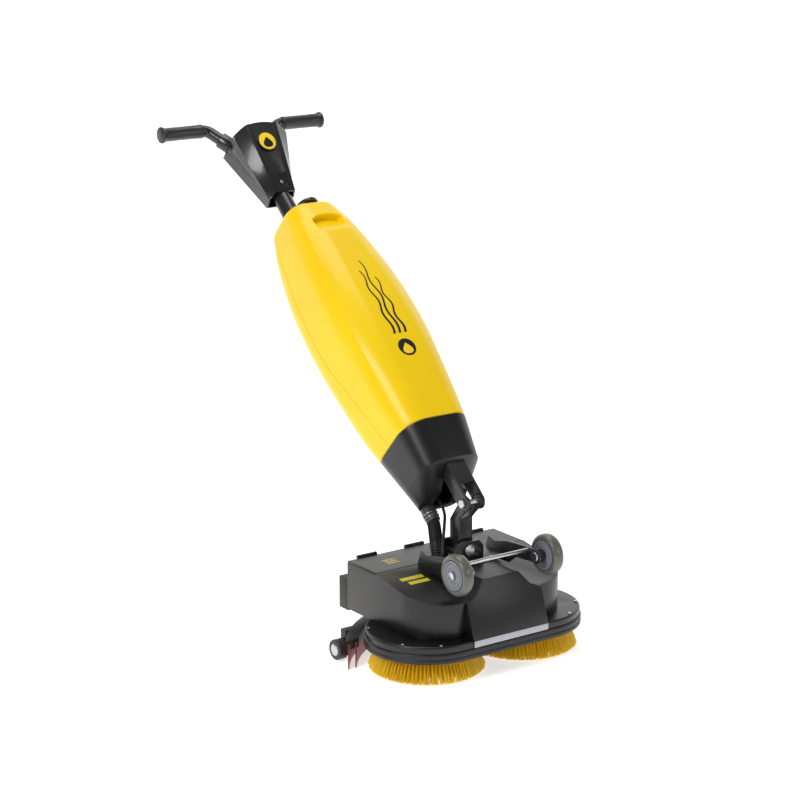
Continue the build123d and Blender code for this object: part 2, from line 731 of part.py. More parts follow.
def tank_volume(side, inset):
    """One tank: its half of the pair, with the slot in which the pole lies."""
    slot = pole_slot + inset
    with BuildPart() as half:
        add(tank_pair_volume(inset))
        add(seam_side(side, seam_gap / 2 + inset), mode=Mode.INTERSECT)
        with BuildSketch(column.offset(100)):
            with Locations((0, pole_back)):
                Circle(slot)
            with Locations((0, pole_back - side * 100)):
                Rectangle(2 * slot, 200)
        extrude(amount=800, mode=Mode.SUBTRACT)
    return half.part


def hand_recess(wall):
    """The scoop near the top of the front tank, by which it is lifted off."""
    with BuildPart() as scoop:
        with Locations(Plane(origin=on_column(0, -62, 662), x_dir=(1, 0, 0), z_dir=column.z_dir)):
            Box(66 + 2 * wall, 34 + 2 * wall, 30 + 2 * wall)
        fillet(scoop.edges().filter_by(Axis(column.origin, column.y_dir)), 10 + wall)
    return scoop.part


cap_back = -14.0
cap_length = 735.0

with BuildPart() as tank_cavity:
    add(tank_volume(-1, tank_wall))
    add(hand_recess(tank_wall), mode=Mode.SUBTRACT)

with BuildPart() as solution_tank:
    add(tank_volume(-1, 0))
    add(hand_recess(0), mode=Mode.SUBTRACT)
    add(tank_cavity.part, mode=Mode.SUBTRACT)
    with Locations(Plane(origin=on_column(0, cap_back, cap_length), x_dir=(1, 0, 0), z_dir=column.z_dir)):
        Cylinder(15, 30, mode=Mode.SUBTRACT)
finish(solution_tank.part, "solution_tank")

with BuildPart() as recovery_tank:
    add(tank_volume(1, 0))
    add(tank_volume(1, tank_wall), mode=Mode.SUBTRACT)
finish(recovery_tank.part, "recovery_tank")

cap_radius = 30.0
cap_seat = cap_length + 0.5

with BuildPart() as fill_cap:
    with Locations(Plane(origin=on_column(0, cap_back, cap_seat), x_dir=(1, 0, 0), z_dir=column.z_dir)):
        Cylinder(24, 7, align=(Align.CENTER, Align.CENTER, Align.MIN))
        Cylinder(14, 10, align=(Align.CENTER, Align.CENTER, Align.MAX))
    fillet(fill_cap.edges().filter_by(GeomType.CIRCLE).sort_by(SortBy.RADIUS)[-1], 1.5)
finish(fill_cap.part, "fill_cap")

# ---- console ----

console_foot = ((24, 26), (31, 48), (24, 78))        # (half width, back) of its outline, at the foot
console_head = ((38, -10), (70, 8), (62, 84))        # and at the head
console_split = 46.0
console_wall = 3.0


def console_outline(points, inset):
    """Both sides of the console's cross-section, from half of its corners."""
    right = [(x, back) for x, back in points]
    left = [(-x, back) for x, back in reversed(points)]
    with BuildSketch() as outline:
        with BuildLine():
            Polyline(*right, *left, close=True)
        make_face()
        if inset:
            offset(amount=-inset, kind=Kind.INTERSECTION)
    return outline.sketch


def console_volume(inset):
    """The console's outer body, or its hollow when inset by the wall."""
    with BuildPart() as body:
        for points, length in ((console_foot, console_bottom), (console_head, console_top)):
            add(column.offset(length) * console_outline(points, inset))
        loft(ruled=True)
        with BuildSketch(column_face.offset(-120)):
            with BuildLine():
                crown = ThreePointArc((-80, 945 - inset), (0, console_top - inset), (80, 945 - inset))
                Polyline(crown @ 1, (80, 800 + inset), (-80, 800 + inset), crown @ 0)
            make_face()
        extrude(amount=180, mode=Mode.INTERSECT)
    return body.part


bar_route = [
    (-grip_outer + 3, grip_back, grip_length),
    (-grip_inner, grip_back, grip_length),
    (-44, pole_back, bar_length),
    (44, pole_back, bar_length),
    (grip_inner, grip_back, grip_length),
    (grip_outer - 3, grip_back, grip_length),
]

with BuildPart() as handlebar:
    with BuildLine():
        centre_line = FilletPolyline(*[on_column(*point) for point in bar_route], radius=20)
    with BuildSketch(Plane(origin=centre_line @ 0, z_dir=centre_line % 0)):
        Circle(bar_radius)
        Circle(bar_radius - 1.6, mode=Mode.SUBTRACT)
    sweep()
finish(handlebar.part, "handlebar")

collar_radius = 17.0
panel_size = (80.0, 32.0)
panel_back = 17.0

for name, front in (("console_front", True), ("console_back", False)):
    with BuildPart() as shell:
        add(console_volume(0))
        add(console_volume(console_wall), mode=Mode.SUBTRACT)
        with BuildSketch(column_side):
            with Locations((console_split + (200 if front else -200), 900)):
                Rectangle(400 + 0.3, 400)
        extrude(amount=120, both=True, mode=Mode.SUBTRACT)
        with BuildSketch(column.offset(console_bottom - 5)):
            with Locations((0, pole_back)):
                Circle(pole_radius + 0.3)
        extrude(amount=20, mode=Mode.SUBTRACT)
        for side in (-1, 1):
            start = on_column(side * 44, pole_back, bar_length)
            along = on_column(side * grip_inner, grip_back, grip_length) - start
            with Locations(Plane(origin=start, z_dir=along)):
                Cylinder(bar_radius + 0.4, 60, align=(Align.CENTER, Align.CENTER, Align.MIN),
                         mode=Mode.SUBTRACT)
            with Locations(Plane(origin=start + along.normalized() * 19.7, z_dir=along)):
                Cylinder(collar_radius + 0.3, 60, align=(Align.CENTER, Align.CENTER, Align.MIN),
                         mode=Mode.SUBTRACT)
        if front:
            with BuildSketch(column.offset(console_top - 12)):
                with Locations((0, panel_back)):
                    Rectangle(*panel_size)
            extrude(amount=30, mode=Mode.SUBTRACT)
    finish(shell.part, name)

clamp_width = 44.0

with BuildPart() as bar_clamp:
    with BuildSketch(column.offset(pole_top - 26)):
        with Locations((0, pole_back)):
            Rectangle(clamp_width, clamp_width)
            Circle(pole_radius, mode=Mode.SUBTRACT)
    extrude(amount=26)
    with BuildSketch(column.offset(pole_top)):
        with Locations((0, pole_back)):
            Rectangle(clamp_width, clamp_width)
    extrude(amount=34)
    with Locations(across_x(0, pole_back, bar_length)):
        Cylinder(bar_radius, 100, mode=Mode.SUBTRACT)
finish(bar_clamp.part, "bar_clamp")

with BuildPart() as bar_collars:
    for side in (-1, 1):
        start = on_column(side * 44, pole_back, bar_length)
        along = (on_column(side * grip_inner, grip_back, grip_length) - start).normalized()
        with Locations(Plane(origin=start + along * 20, z_dir=along)):
            Cylinder(collar_radius, 26, align=(Align.CENTER, Align.CENTER, Align.MIN))
            Cylinder(bar_radius, 100, mode=Mode.SUBTRACT)
finish(bar_collars.part, "bar_collars")

with BuildPart() as grips:
    for side in (-1, 1):
        grip_start = across_x(side * (grip_inner + 12), grip_back, grip_length)
        sleeve_length = side * (grip_outer - grip_inner - 12)
        with BuildSketch(grip_start):
            Circle(14.5)
        extrude(amount=sleeve_length)
        with BuildSketch(grip_start.offset(sleeve_length)):
            Circle(17)
        extrude(amount=-side * 4)
        with BuildSketch(grip_start):
            Circle(bar_radius)
        extrude(amount=sleeve_length - side * 3, mode=Mode.SUBTRACT)
finish(grips.part, "grips")

# ---- controls, in the top of the console, facing the operator ----

panel_seat = console_top - 9
button_places = ((-26, 10), (0, 10), (26, 10))
button_radius = 8.0
button_travel = 2.0

with BuildPart() as control_panel:
    with BuildSketch(column.offset(panel_seat)):
        with Locations((0, panel_back)):
            Rectangle(panel_size[0] - 0.6, panel_size[1] - 0.6)
        with Locations(*button_places):
            Circle(button_radius + 0.4, mode=Mode.SUBTRACT)
    extrude(amount=-3)
finish(control_panel.part, "control_panel")

for name, (x, back) in zip(("power", "brush", "water"), button_places):
    with BuildPart() as button:
        with BuildSketch(column.offset(panel_seat - 6)):
            with Locations((x, back)):
                Circle(button_radius)
        extrude(amount=10)
        fillet(button.faces().sort_by(Axis(column.origin, column.z_dir))[-1].edges(), 1.5)
    finish(button.part, f"{name}_button")

face_slope = (console_foot[0][1] - console_head[0][1]) / (console_top - console_bottom)
badge_length = 925.0
badge_back = console_foot[0][1] - face_slope * (badge_length - console_bottom)
face_normal = (column.z_dir * -face_slope - column.y_dir * 1.0).normalized()

with BuildPart() as badge:
    with Locations(Plane(origin=on_column(0, badge_back, badge_length), x_dir=(1, 0, 0), z_dir=face_normal)):
        Cylinder(21.5, 1.8, align=(Align.CENTER, Align.CENTER, Align.MIN))
finish(badge.part, "badge")

# ---- hose and harness between deck and column ----

hose_low_turn = Vector(duct_x, hose_deck_y, 204)
hose_high_turn = on_column(hose_cup_x, hose_back, 18)
hose_middle = (hose_low_turn + hose_high_turn) / 2
cable_low_turn = Vector(cable_x, cable_deck_y, 212)
cable_high_turn = on_column(-10, 50, 22)
cable_middle = (cable_low_turn + cable_high_turn) / 2

# Each line crosses both joints, so it is two pieces that meet face to face beside the swivel yoke.
flexible_lines = (
    ("suction_hose_lower", hose_radius, 2.5,
     (Vector(duct_x, hose_deck_y, 165), hose_low_turn, hose_middle)),
    ("suction_hose_upper", hose_radius, 2.5,
     (hose_middle, hose_high_turn, on_column(hose_cup_x, hose_back, cup_bottom + 6))),
    ("cable_lower", cable_radius, 0,
     (Vector(cable_x, cable_deck_y, 160), cable_low_turn, cable_middle)),
    ("cable_upper", cable_radius, 0,
     (cable_middle, cable_high_turn, on_column(-10, 50, cup_bottom + 12))),
)

for name, radius, wall, route in flexible_lines:
    first, second = (route[1] - route[0]), (route[2] - route[1])
    half_turn = radians(first.get_angle(second) / 2)
    bend = 0.45 * min(first.length, second.length) * cos(half_turn) / sin(half_turn)
    with BuildPart() as line:
        with BuildLine():
            centre_line = FilletPolyline(*route, radius=bend)
        with BuildSketch(Plane(origin=centre_line @ 0, x_dir=(1, 0, 0), z_dir=centre_line % 0)) as ring:
            Circle(radius)
            if wall:
                Circle(radius - wall, mode=Mode.SUBTRACT)
        sweep()
    swept = line.part.volume / (ring.sketch.area * centre_line.length)
    print(name, "bend radius", round(bend, 1), "volume over area times length", round(swept, 4))
    finish(line.part, name)

# =============================== squeegee ===============================

body_bottom = 38.0
body_top = 56.0
body_half_depth = 12.0
blade_height = 50.0
blade_thickness = 3.0
blade_offset = 7.0
arc_centre_y = squeegee_rear - squeegee_radius


def arc_band(low, high, inner, outer, front):
    """A band of the squeegee's arc between two heights and two radii, cut off at its ends."""
    with BuildPart() as band:
        with BuildSketch(Plane.XY.offset(low)):
            with Locations((0, arc_centre_y)):
                Circle(outer)
                Circle(inner, mode=Mode.SUBTRACT)
            with Locations((0, front)):
                Rectangle(700, 300, align=(Align.CENTER, Align.MIN), mode=Mode.INTERSECT)
        extrude(amount=high - low)
    return band.part


blade_rings = [
    (squeegee_radius + offset - blade_thickness / 2, squeegee_radius + offset + blade_thickness / 2)
    for offset in (-blade_offset, blade_offset)
]

with BuildPart() as squeegee_blades:
    for inner, outer in blade_rings:
        add(arc_band(0, blade_height, inner, outer, squeegee_end))
finish(squeegee_blades.part, "squeegee_blades")

with BuildPart() as squeegee_body:
    add(arc_band(body_bottom, body_top, squeegee_radius - body_half_depth,
                 squeegee_radius + body_half_depth, squeegee_end + 5))
    for side in (-1, 1):
        with Locations((side * 212, end_wheel_y + 2, 12)):
            Box(6, 18, body_top - 12, align=(Align.CENTER, Align.CENTER, Align.MIN))
        with Locations((side * 200, end_wheel_y + 2, body_bottom + 6)):
            Box(30, 18, body_top - body_bottom - 6, align=(Align.CENTER, Align.CENTER, Align.MIN))
    for inner, outer in blade_rings:
        add(arc_band(body_bottom - 30, blade_height, inner, outer, 0), mode=Mode.SUBTRACT)
    with Locations((duct_x, port_y, body_top - 4)):
        Cylinder(port_radius, 64, align=(Align.CENTER, Align.CENTER, Align.MIN))
    with Locations((duct_x, port_y + 5, body_top)):
        Cylinder(3.5, 60, mode=Mode.SUBTRACT)
    with Locations((duct_x, port_y, body_top + 6)):
        Cylinder(port_radius - 2, 64, align=(Align.CENTER, Align.CENTER, Align.MIN), mode=Mode.SUBTRACT)
finish(squeegee_body.part, "squeegee_body")

with BuildPart() as squeegee_pins:
    for side in (-1, 1):
        with Locations((side * guide_x, guide_y, body_top)):
            Cylinder(guide_pin_radius, 66, align=(Align.CENTER, Align.CENTER, Align.MIN))
        with Locations(Plane(origin=(side * 215, end_wheel_y, end_wheel_radius), z_dir=(side, 0, 0))):
            Cylinder(4, 23, align=(Align.CENTER, Align.CENTER, Align.MIN))
finish(squeegee_pins.part, "squeegee_pins")

for name, side in (("left", -1), ("right", 1)):
    with BuildPart() as wheel:
        wheel_middle = Plane(origin=(side * end_wheel_x, end_wheel_y, end_wheel_radius), z_dir=(side, 0, 0))
        with BuildSketch(wheel_middle):
            Circle(end_wheel_radius)
            Circle(4 + running_gap, mode=Mode.SUBTRACT)
        extrude(amount=10, both=True)
        fillet(wheel.edges().filter_by(GeomType.CIRCLE).sort_by(SortBy.RADIUS)[-2:], 3)
        with BuildSketch(wheel_middle.offset(10)):
            Circle(12)
            Circle(6.5, mode=Mode.SUBTRACT)
        extrude(amount=-5, mode=Mode.SUBTRACT)
    finish(wheel.part, f"end_wheel_{name}")
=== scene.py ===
"""Looks of an upright floor scrubber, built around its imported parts.

Metres, +Z up. The origin lies on the floor midway between the two disc brushes, the front of the
machine faces -Y, and the column leans back towards +Y. Sizes in the sections are in millimetres.
"""
from math import cos, pi, radians, sin, sqrt

import bmesh
import bpy
import numpy as np
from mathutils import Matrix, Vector


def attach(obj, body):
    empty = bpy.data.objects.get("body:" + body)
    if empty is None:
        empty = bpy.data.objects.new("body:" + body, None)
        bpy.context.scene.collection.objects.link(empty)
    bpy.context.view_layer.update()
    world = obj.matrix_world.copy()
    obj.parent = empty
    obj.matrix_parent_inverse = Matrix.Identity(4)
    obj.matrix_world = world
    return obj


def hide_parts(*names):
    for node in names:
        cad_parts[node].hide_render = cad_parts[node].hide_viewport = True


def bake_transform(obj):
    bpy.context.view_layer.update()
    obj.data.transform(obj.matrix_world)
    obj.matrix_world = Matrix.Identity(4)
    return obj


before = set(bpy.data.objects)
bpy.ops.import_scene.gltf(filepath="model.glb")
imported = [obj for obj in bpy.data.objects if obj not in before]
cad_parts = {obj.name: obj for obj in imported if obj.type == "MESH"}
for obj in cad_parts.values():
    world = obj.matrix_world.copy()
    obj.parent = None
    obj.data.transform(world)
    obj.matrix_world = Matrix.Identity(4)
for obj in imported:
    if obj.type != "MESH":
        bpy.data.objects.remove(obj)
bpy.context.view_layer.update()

# ---------------------------------------------------------------- deck shell
# The deck is a set of injection-moulded ABS covers over a steel plate: a low skirt, a housing with
# a falling front, a hinged battery lid, a nose panel and a rear cover. Mould texture is a fine
# satin grain, and every outer edge is rounded.


def linear(code):
    """A colour given as sRGB hex, as linear RGBA."""
    channels = [int(code[i:i + 2], 16) / 255 for i in (1, 3, 5)]
    return [c / 12.92 if c <= 0.04045 else ((c + 0.055) / 1.055) ** 2.4 for c in channels] + [1.0]


def add(tree, kind, inputs=None, **settings):
    """Add a node; each input is a plain value or another node's output."""
    made = tree.nodes.new(kind)
    for name, value in settings.items():
        setattr(made, name, value)
    for socket, value in (inputs or {}).items():
        if isinstance(value, bpy.types.NodeSocket):
            tree.links.new(value, made.inputs[socket])
        else:
            made.inputs[socket].default_value = value
    return made


def new_finish(name, roughness, metallic=0.0, ior=1.5, coat=0.0):
    """A material with one surface shader, and the place its patterns are read from."""
    made = bpy.data.materials.new(name)
    made.use_nodes = True
    tree = made.node_tree
    shader = tree.nodes["Principled BSDF"]
    shader.inputs["Metallic"].default_value = metallic
    shader.inputs["IOR"].default_value = ior
    shader.inputs["Roughness"].default_value = roughness
    shader.inputs["Coat Weight"].default_value = coat
    shader.inputs["Coat Roughness"].default_value = 0.08
    place = add(tree, "ShaderNodeTexCoord").outputs["Object"]
    return made, tree, shader, place


def noise(tree, place, scale, detail):
    """A cloudy pattern with so many features to a metre."""
    return add(tree, "ShaderNodeTexNoise", {
        "Vector": place, "Scale": scale, "Detail": detail}).outputs["Fac"]


def colour_by(tree, shader, pattern, first, second, ends=(0.0, 1.0)):
    """Colour a surface from one hex colour to another as a pattern rises between two ends."""
    tint = add(tree, "ShaderNodeValToRGB", {"Fac": pattern})
    for element, end, code in zip(tint.color_ramp.elements, ends, (first, second)):
        element.position = end
        element.color = linear(code)
    tree.links.new(tint.outputs["Color"], shader.inputs["Base Color"])


def gloss_by(tree, shader, pattern, least, most):
    """Let a pattern drive the roughness between two values."""
    gloss = add(tree, "ShaderNodeMapRange", {"Value": pattern, "To Min": least, "To Max": most})
    tree.links.new(gloss.outputs["Result"], shader.inputs["Roughness"])


def moulded(name, light, dark, roughness, grain_mm, grain_depth_mm, coat=0.0):
    """Moulded plastic or rubber: uneven pigment, uneven gloss, and the grain of the mould."""
    made, tree, shader, place = new_finish(name, roughness, coat=coat)
    colour_by(tree, shader, noise(tree, place, 14.0, 4.0), dark, light, (0.3, 0.7))
    gloss_by(tree, shader, noise(tree, place, 95.0, 3.0), roughness * 0.85, roughness * 1.15)
    bump = add(tree, "ShaderNodeBump", {
        "Height": noise(tree, place, 1000.0 / grain_mm, 2.0), "Strength": 0.5,
        "Distance": grain_depth_mm / 1000})
    tree.links.new(bump.outputs["Normal"], shader.inputs["Normal"])
    return made


def shade(piece, angle=35.0):
    """Smooth shading, with edges sharper than the angle kept crisp."""
    for face in piece.data.polygons:
        face.use_smooth = True
    piece.data.set_sharp_from_angle(angle=radians(angle))


def paint(piece, finish):
    """Make one material the only one on a piece."""
    piece.data.materials.clear()
    piece.data.materials.append(finish)


def settle(piece, finish, body, slot, *replaced):
    """Give a finished piece its material and body, and hide the CAD nodes it stands for; slot is
    not used.
    """
    paint(piece, finish)
    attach(piece, body)
    if replaced:
        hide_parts(*replaced)
    return piece


def new_object(name, data):
    """A new object in the scene."""
    made = bpy.data.objects.new(name, data)
    bpy.context.scene.collection.objects.link(made)
    return made


def plain_piece(name, mesh_builder):
    """A new object from a bmesh, as it is."""
    mesh = bpy.data.meshes.new(name)
    mesh_builder.to_mesh(mesh)
    mesh_builder.free()
    return new_object(name, mesh)


def mesh_piece(name, mesh_builder):
    """A new object from a bmesh, with its faces turned outwards."""
    bmesh.ops.remove_doubles(mesh_builder, verts=mesh_builder.verts, dist=1e-6)
    bmesh.ops.recalc_face_normals(mesh_builder, faces=mesh_builder.faces)
    return plain_piece(name, mesh_builder)


def apply_modifiers(piece):
    """Turn an object and its modifiers into a plain mesh."""
    evaluated = piece.evaluated_get(bpy.context.evaluated_depsgraph_get())
    baked = bpy.data.meshes.new_from_object(evaluated)
    piece.modifiers.clear()
    piece.data = baked
    baked.name = piece.name
    return piece


def round_edges(piece, width, segments, angle):
    """Round the edges sharper than an angle, over a width in millimetres."""
    edge = piece.modifiers.new("edge", "BEVEL")
    edge.width = width / 1000
    edge.segments = segments
    edge.limit_method = "ANGLE"
    edge.angle_limit = radians(angle)
    apply_modifiers(piece)


def rounded(name, node, width, segments=3, angle=30.0, cutters=()):
    """A copy of a CAD node whose sharp edges are rounded over to a width in millimetres."""
    builder = bmesh.new()
    builder.from_mesh(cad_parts[node].data)
    bmesh.ops.remove_doubles(builder, verts=builder.verts, dist=1e-5)
    bmesh.ops.dissolve_limit(builder, angle_limit=radians(0.4), verts=builder.verts,
                             edges=builder.edges, delimit={"NORMAL"})
    piece = plain_piece(name, builder)
    for cutter in cutters:
        cut = piece.modifiers.new("cut", "BOOLEAN")
        cut.object = cutter
        cut.operation = "DIFFERENCE"
        cut.solver = "EXACT"
    if cutters:
        apply_modifiers(piece)
        for cutter in cutters:
            bpy.data.objects.remove(cutter)
    round_edges(piece, width, segments, angle)
    shade(piece, 40.0)
    return piece


charcoal = moulded("satin_moulded_abs_charcoal", "#141315", "#0F0E10", 0.34, 0.9, 0.05)

for name, node, body, width, segments in (
        ("housing_shell", "deck_housing", "root", 3.0, 4),
        ("battery_cover", "battery_lid", "lid", 0.8, 2),
        ("nose_cover", "front_panel", "root", 1.6, 3), ("rear_shell", "rear_cover", "root", 1.0, 2),
        ("skirt", "deck_skirt", "root", 0.8, 2)):
    settle(rounded(name, node, width, segments), charcoal, body, "charcoal_plastic", node)

# ---------------------------------------------------------------- bumper and reflective strip
# A soft rubber bumper runs round the brush guard with a rolled outer bead, and a grey reflective
# tape is stuck in a shallow seat along the foot of the nose panel.

bumper_rubber = moulded("moulded_nitrile_rubber", "#1C1B1D", "#151416", 0.45, 1.4, 0.08)


brush_offset = 112.5


def bridge(builder, rings):
    """Join each closed ring of vertices to the next with a band of faces."""
    for one, two in zip(rings, rings[1:]):
        for i in range(len(one)):
            j = (i + 1) % len(one)
            builder.faces.new((one[i], one[j], two[j], two[i]))


def slot_ring(name, profile, steps=48):
    """Sweep a closed profile of (radius, height) round both brush centres, in millimetres."""
    builder = bmesh.new()
    rings = []
    for side, start in ((1, -pi / 2), (-1, pi / 2)):
        for k in range(steps + 1):
            turn = start + pi * k / steps
            rings.append([builder.verts.new((
                (side * brush_offset + r * cos(turn)) / 1000, r * sin(turn) / 1000, z / 1000))
                for r, z in profile])
    bridge(builder, rings + rings[:1])
    return mesh_piece(name, builder)


def bend(start, here, end, steps):
    """Points on a round bend from start to end, drawn towards the corner here."""
    return [start * (1 - t) ** 2 + here * 2 * t * (1 - t) + end * t ** 2
            for t in (i / steps for i in range(steps + 1))]


def rounded_profile(corners, radius, steps=4):
    """Round every corner of a closed (radius, height) profile."""
    points = []
    for k, corner in enumerate(corners):
        before, here = Vector(corners[k - 1]), Vector(corner)
        after = Vector(corners[(k + 1) % len(corners)])
        one, two = (before - here), (after - here)
        reach = min(radius, one.length * 0.49, two.length * 0.49)
        points += bend(here + one.normalized() * reach, here, here + two.normalized() * reach,
                       steps)
    return [tuple(p) for p in points]


bead = rounded_profile([(105.8, 66), (105.8, 62), (114, 62), (114, 46), (118.6, 46), (119.5, 49),
                        (119.5, 53.2), (118.2, 54.4), (118.2, 57.6), (119.5, 58.8), (119.5, 63.5),
                        (117.5, 66)], 1.4)
bumper = slot_ring("bumper", bead)
shade(bumper, 50)
settle(bumper, bumper_rubber, "root", "bumper_rubber", "bumper_ring")

tape, tree, shader, place = new_finish("grey_glass_bead_reflective_tape", 0.38, coat=0.4)
# Glass-bead tape has a fine honeycomb, about 2.5 mm across a cell.
cells = add(tree, "ShaderNodeTexVoronoi", {"Vector": place, "Scale": 400.0},
            feature="DISTANCE_TO_EDGE")
wall = add(tree, "ShaderNodeMapRange", {"Value": cells.outputs["Distance"], "From Max": 0.12})
tint = add(tree, "ShaderNodeMix", {
    "Factor": wall.outputs["Result"], "A": linear("#A3A1A8"), "B": linear("#BFBDC6")},
    data_type="RGBA")
tree.links.new(tint.outputs["Result"], shader.inputs["Base Color"])
settle(rounded("reflector", "reflective_strip", 0.4, 2), tape, "root", "strip_grey",
       "reflective_strip")

# ---------------------------------------------------------------- brushes
# Each disc brush is a moulded block with punched tufts of amber nylon in rings. The outer tufts
# flare outwards to the floor, so the rim is a fringe of separate bundles.

nylon, tree, shader, place = new_finish("extruded_nylon_bristle_amber", 0.42, ior=1.53)
shader.inputs["Subsurface Weight"].default_value = 0.12
shader.inputs["Subsurface Radius"].default_value = (0.004, 0.002, 0.0004)
fibres = noise(tree, place, 420.0, 3.0)
# The tufts are painted darker and more orange towards their roots: painted shade for the shadow
# under the brush block.
height = add(tree, "ShaderNodeSeparateXYZ", {"Vector": place})
painted_root_shade = add(tree, "ShaderNodeMapRange", {
    "Value": height.outputs["Z"], "From Min": 0.0, "From Max": 0.042, "To Min": 0.0,
    "To Max": 0.55})
mixed = add(tree, "ShaderNodeMath", {0: fibres, 1: painted_root_shade.outputs["Result"]},
            operation="ADD")
colour_by(tree, shader, mixed.outputs[0], "#FFE030", "#F4C41A", (0.3, 1.0))

filaments = 14
filament_radius = 0.75
golden_turn = 2.39996
tuft_spread = 2.6
tuft_length = 43.0
uneven_length = 0.8

rng = np.random.default_rng(7)
builder = bmesh.new()
for k in range(filaments):
    # The tuft points down from its hole and opens a little towards the floor.
    around = k * golden_turn
    reach = tuft_spread * sqrt((k + 0.5) / filaments)
    foot = Vector((cos(around), sin(around), 0)) * reach * 0.55
    tip = Vector((cos(around), sin(around), 0)) * reach * (1.15 + 0.5 * rng.random())
    rows = []
    for t in (0.0, 0.5, 1.0):
        short = uneven_length * rng.random() if t == 1 else 0
        centre = foot.lerp(tip, t * t) + Vector((0, 0, -tuft_length * t + short))
        rows.append([builder.verts.new((centre + Vector((cos(a), sin(a), 0)) * filament_radius
                                        * (1 - 0.2 * t)) / 1000) for a in (0, 2.094, 4.189)])
    bridge(builder, rows)
    builder.faces.new(rows[0])
    builder.faces.new(rows[-1])
tuft = mesh_piece("tuft", builder)



def new_tree(name, sockets):
    """An empty Geometry Nodes tree, and its inputs by name."""
    made = bpy.data.node_groups.new(name, "GeometryNodeTree")
    for label, kind, default in sockets:
        socket = made.interface.new_socket(label, in_out="INPUT", socket_type=f"NodeSocket{kind}")
        if default is not None:
            socket.default_value = default
    made.interface.new_socket("Geometry", in_out="OUTPUT", socket_type="NodeSocketGeometry")
    return made, add(made, "NodeGroupInput").outputs


def finish_tree(tree, geometry, finish):
    """Close a tree: its geometry made real and given its material."""
    real = add(tree, "GeometryNodeRealizeInstances", {"Geometry": geometry})
    painted = add(tree, "GeometryNodeSetMaterial", {
        "Geometry": real.outputs["Geometry"], "Material": finish})
    add(tree, "NodeGroupOutput", {"Geometry": painted.outputs["Geometry"]})


ring_tree, given = new_tree("ring_of_tufts", (
    ("Tuft", "Object", None), ("Count", "Int", 60), ("Radius", "Float", 0.09),
    ("Flare", "Float", 0.3), ("Wobble", "Float", 0.06), ("Seed", "Int", 1),
    ("Finish", "Material", None)))
ring = add(ring_tree, "GeometryNodeMeshCircle", {"Vertices": given["Count"],
                                                 "Radius": given["Radius"]})
spot = add(ring_tree, "GeometryNodeInputPosition")
turn = add(ring_tree, "FunctionNodeAlignRotationToVector", {"Vector": spot.outputs["Position"]},
           axis="X")
jitter = add(ring_tree, "FunctionNodeRandomValue", {"Seed": given["Seed"]},
             data_type="FLOAT_VECTOR")
shift = add(ring_tree, "ShaderNodeVectorMath", {0: jitter.outputs[0], 1: (-0.5, -0.5, -0.5)},
            operation="ADD")
shake = add(ring_tree, "ShaderNodeVectorMath", {0: shift.outputs[0], 3: given["Wobble"]},
            operation="SCALE")
lean_back = add(ring_tree, "ShaderNodeMath", {0: given["Flare"], 1: -1.0}, operation="MULTIPLY")
lean_turn = add(ring_tree, "ShaderNodeCombineXYZ", {"Y": lean_back.outputs[0]})
both = add(ring_tree, "ShaderNodeVectorMath", {0: lean_turn.outputs[0], 1: shake.outputs[0]},
           operation="ADD")
euler = add(ring_tree, "FunctionNodeEulerToRotation", {0: both.outputs[0]})
facing = add(ring_tree, "FunctionNodeRotateRotation", {
    "Rotation": turn.outputs["Rotation"], "Rotate By": euler.outputs[0]}, rotation_space="LOCAL")
source = add(ring_tree, "GeometryNodeObjectInfo", {"Object": given["Tuft"]})
placed = add(ring_tree, "GeometryNodeInstanceOnPoints", {
    "Points": ring.outputs["Mesh"], "Instance": source.outputs["Geometry"],
    "Rotation": facing.outputs["Rotation"]})
finish_tree(ring_tree, placed.outputs["Instances"], given["Finish"])


def run_tree(name, tree, values):
    """Run a Geometry Nodes tree on an empty mesh and keep its result as a plain mesh."""
    holder = new_object(name, bpy.data.meshes.new(name))
    modifier = holder.modifiers.new("tree", "NODES")
    modifier.node_group = tree
    for item in tree.interface.items_tree:
        if item.in_out == "INPUT" and item.name in values:
            modifier[item.identifier] = values[item.name]
    return apply_modifiers(holder)


# (tufts, radius of the ring of holes, outward lean in radians)
tuft_rings = ((36, 50, -0.02), (48, 64, 0.0), (60, 77, 0.08), (72, 88, 0.26), (84, 92, 0.40))
for side, name in ((-1, "left"), (1, "right")):
    builder = bmesh.new()
    for k, (count, radius, flare) in enumerate(tuft_rings):
        row = run_tree(f"ring_{k}", ring_tree, {
            "Tuft": tuft, "Count": count, "Radius": radius / 1000, "Flare": flare,
            "Wobble": 0.07, "Seed": 11 * k + side, "Finish": nylon})
        builder.from_mesh(row.data)
        bpy.data.objects.remove(row)
    lift = Vector((side * brush_offset, 0, 42.5)) / 1000
    for vertex in builder.verts:
        vertex.co += lift
        vertex.co.z = max(vertex.co.z, 0.0001)
    settle(plain_piece(f"tufts_{name}", builder), nylon, f"brush_{name}", "bristle_yellow",
           f"bristles_{name}")
    block = moulded(f"moulded_polypropylene_block_{name}", "#3A3838", "#2C2A2A", 0.5, 1.2, 0.06)
    settle(rounded(f"brush_block_{name}", f"brush_disc_{name}", 0.8, 2), block,
           f"brush_{name}", "charcoal_plastic", f"brush_disc_{name}")
bpy.data.objects.remove(tuft)

# ---------------------------------------------------------------- transport wheels
# Two cast polyurethane tyres on grey polypropylene hubs, carried at the nose for wheeling the
# tipped-back machine. The hub face has turned steps and a plain bolt through its middle.


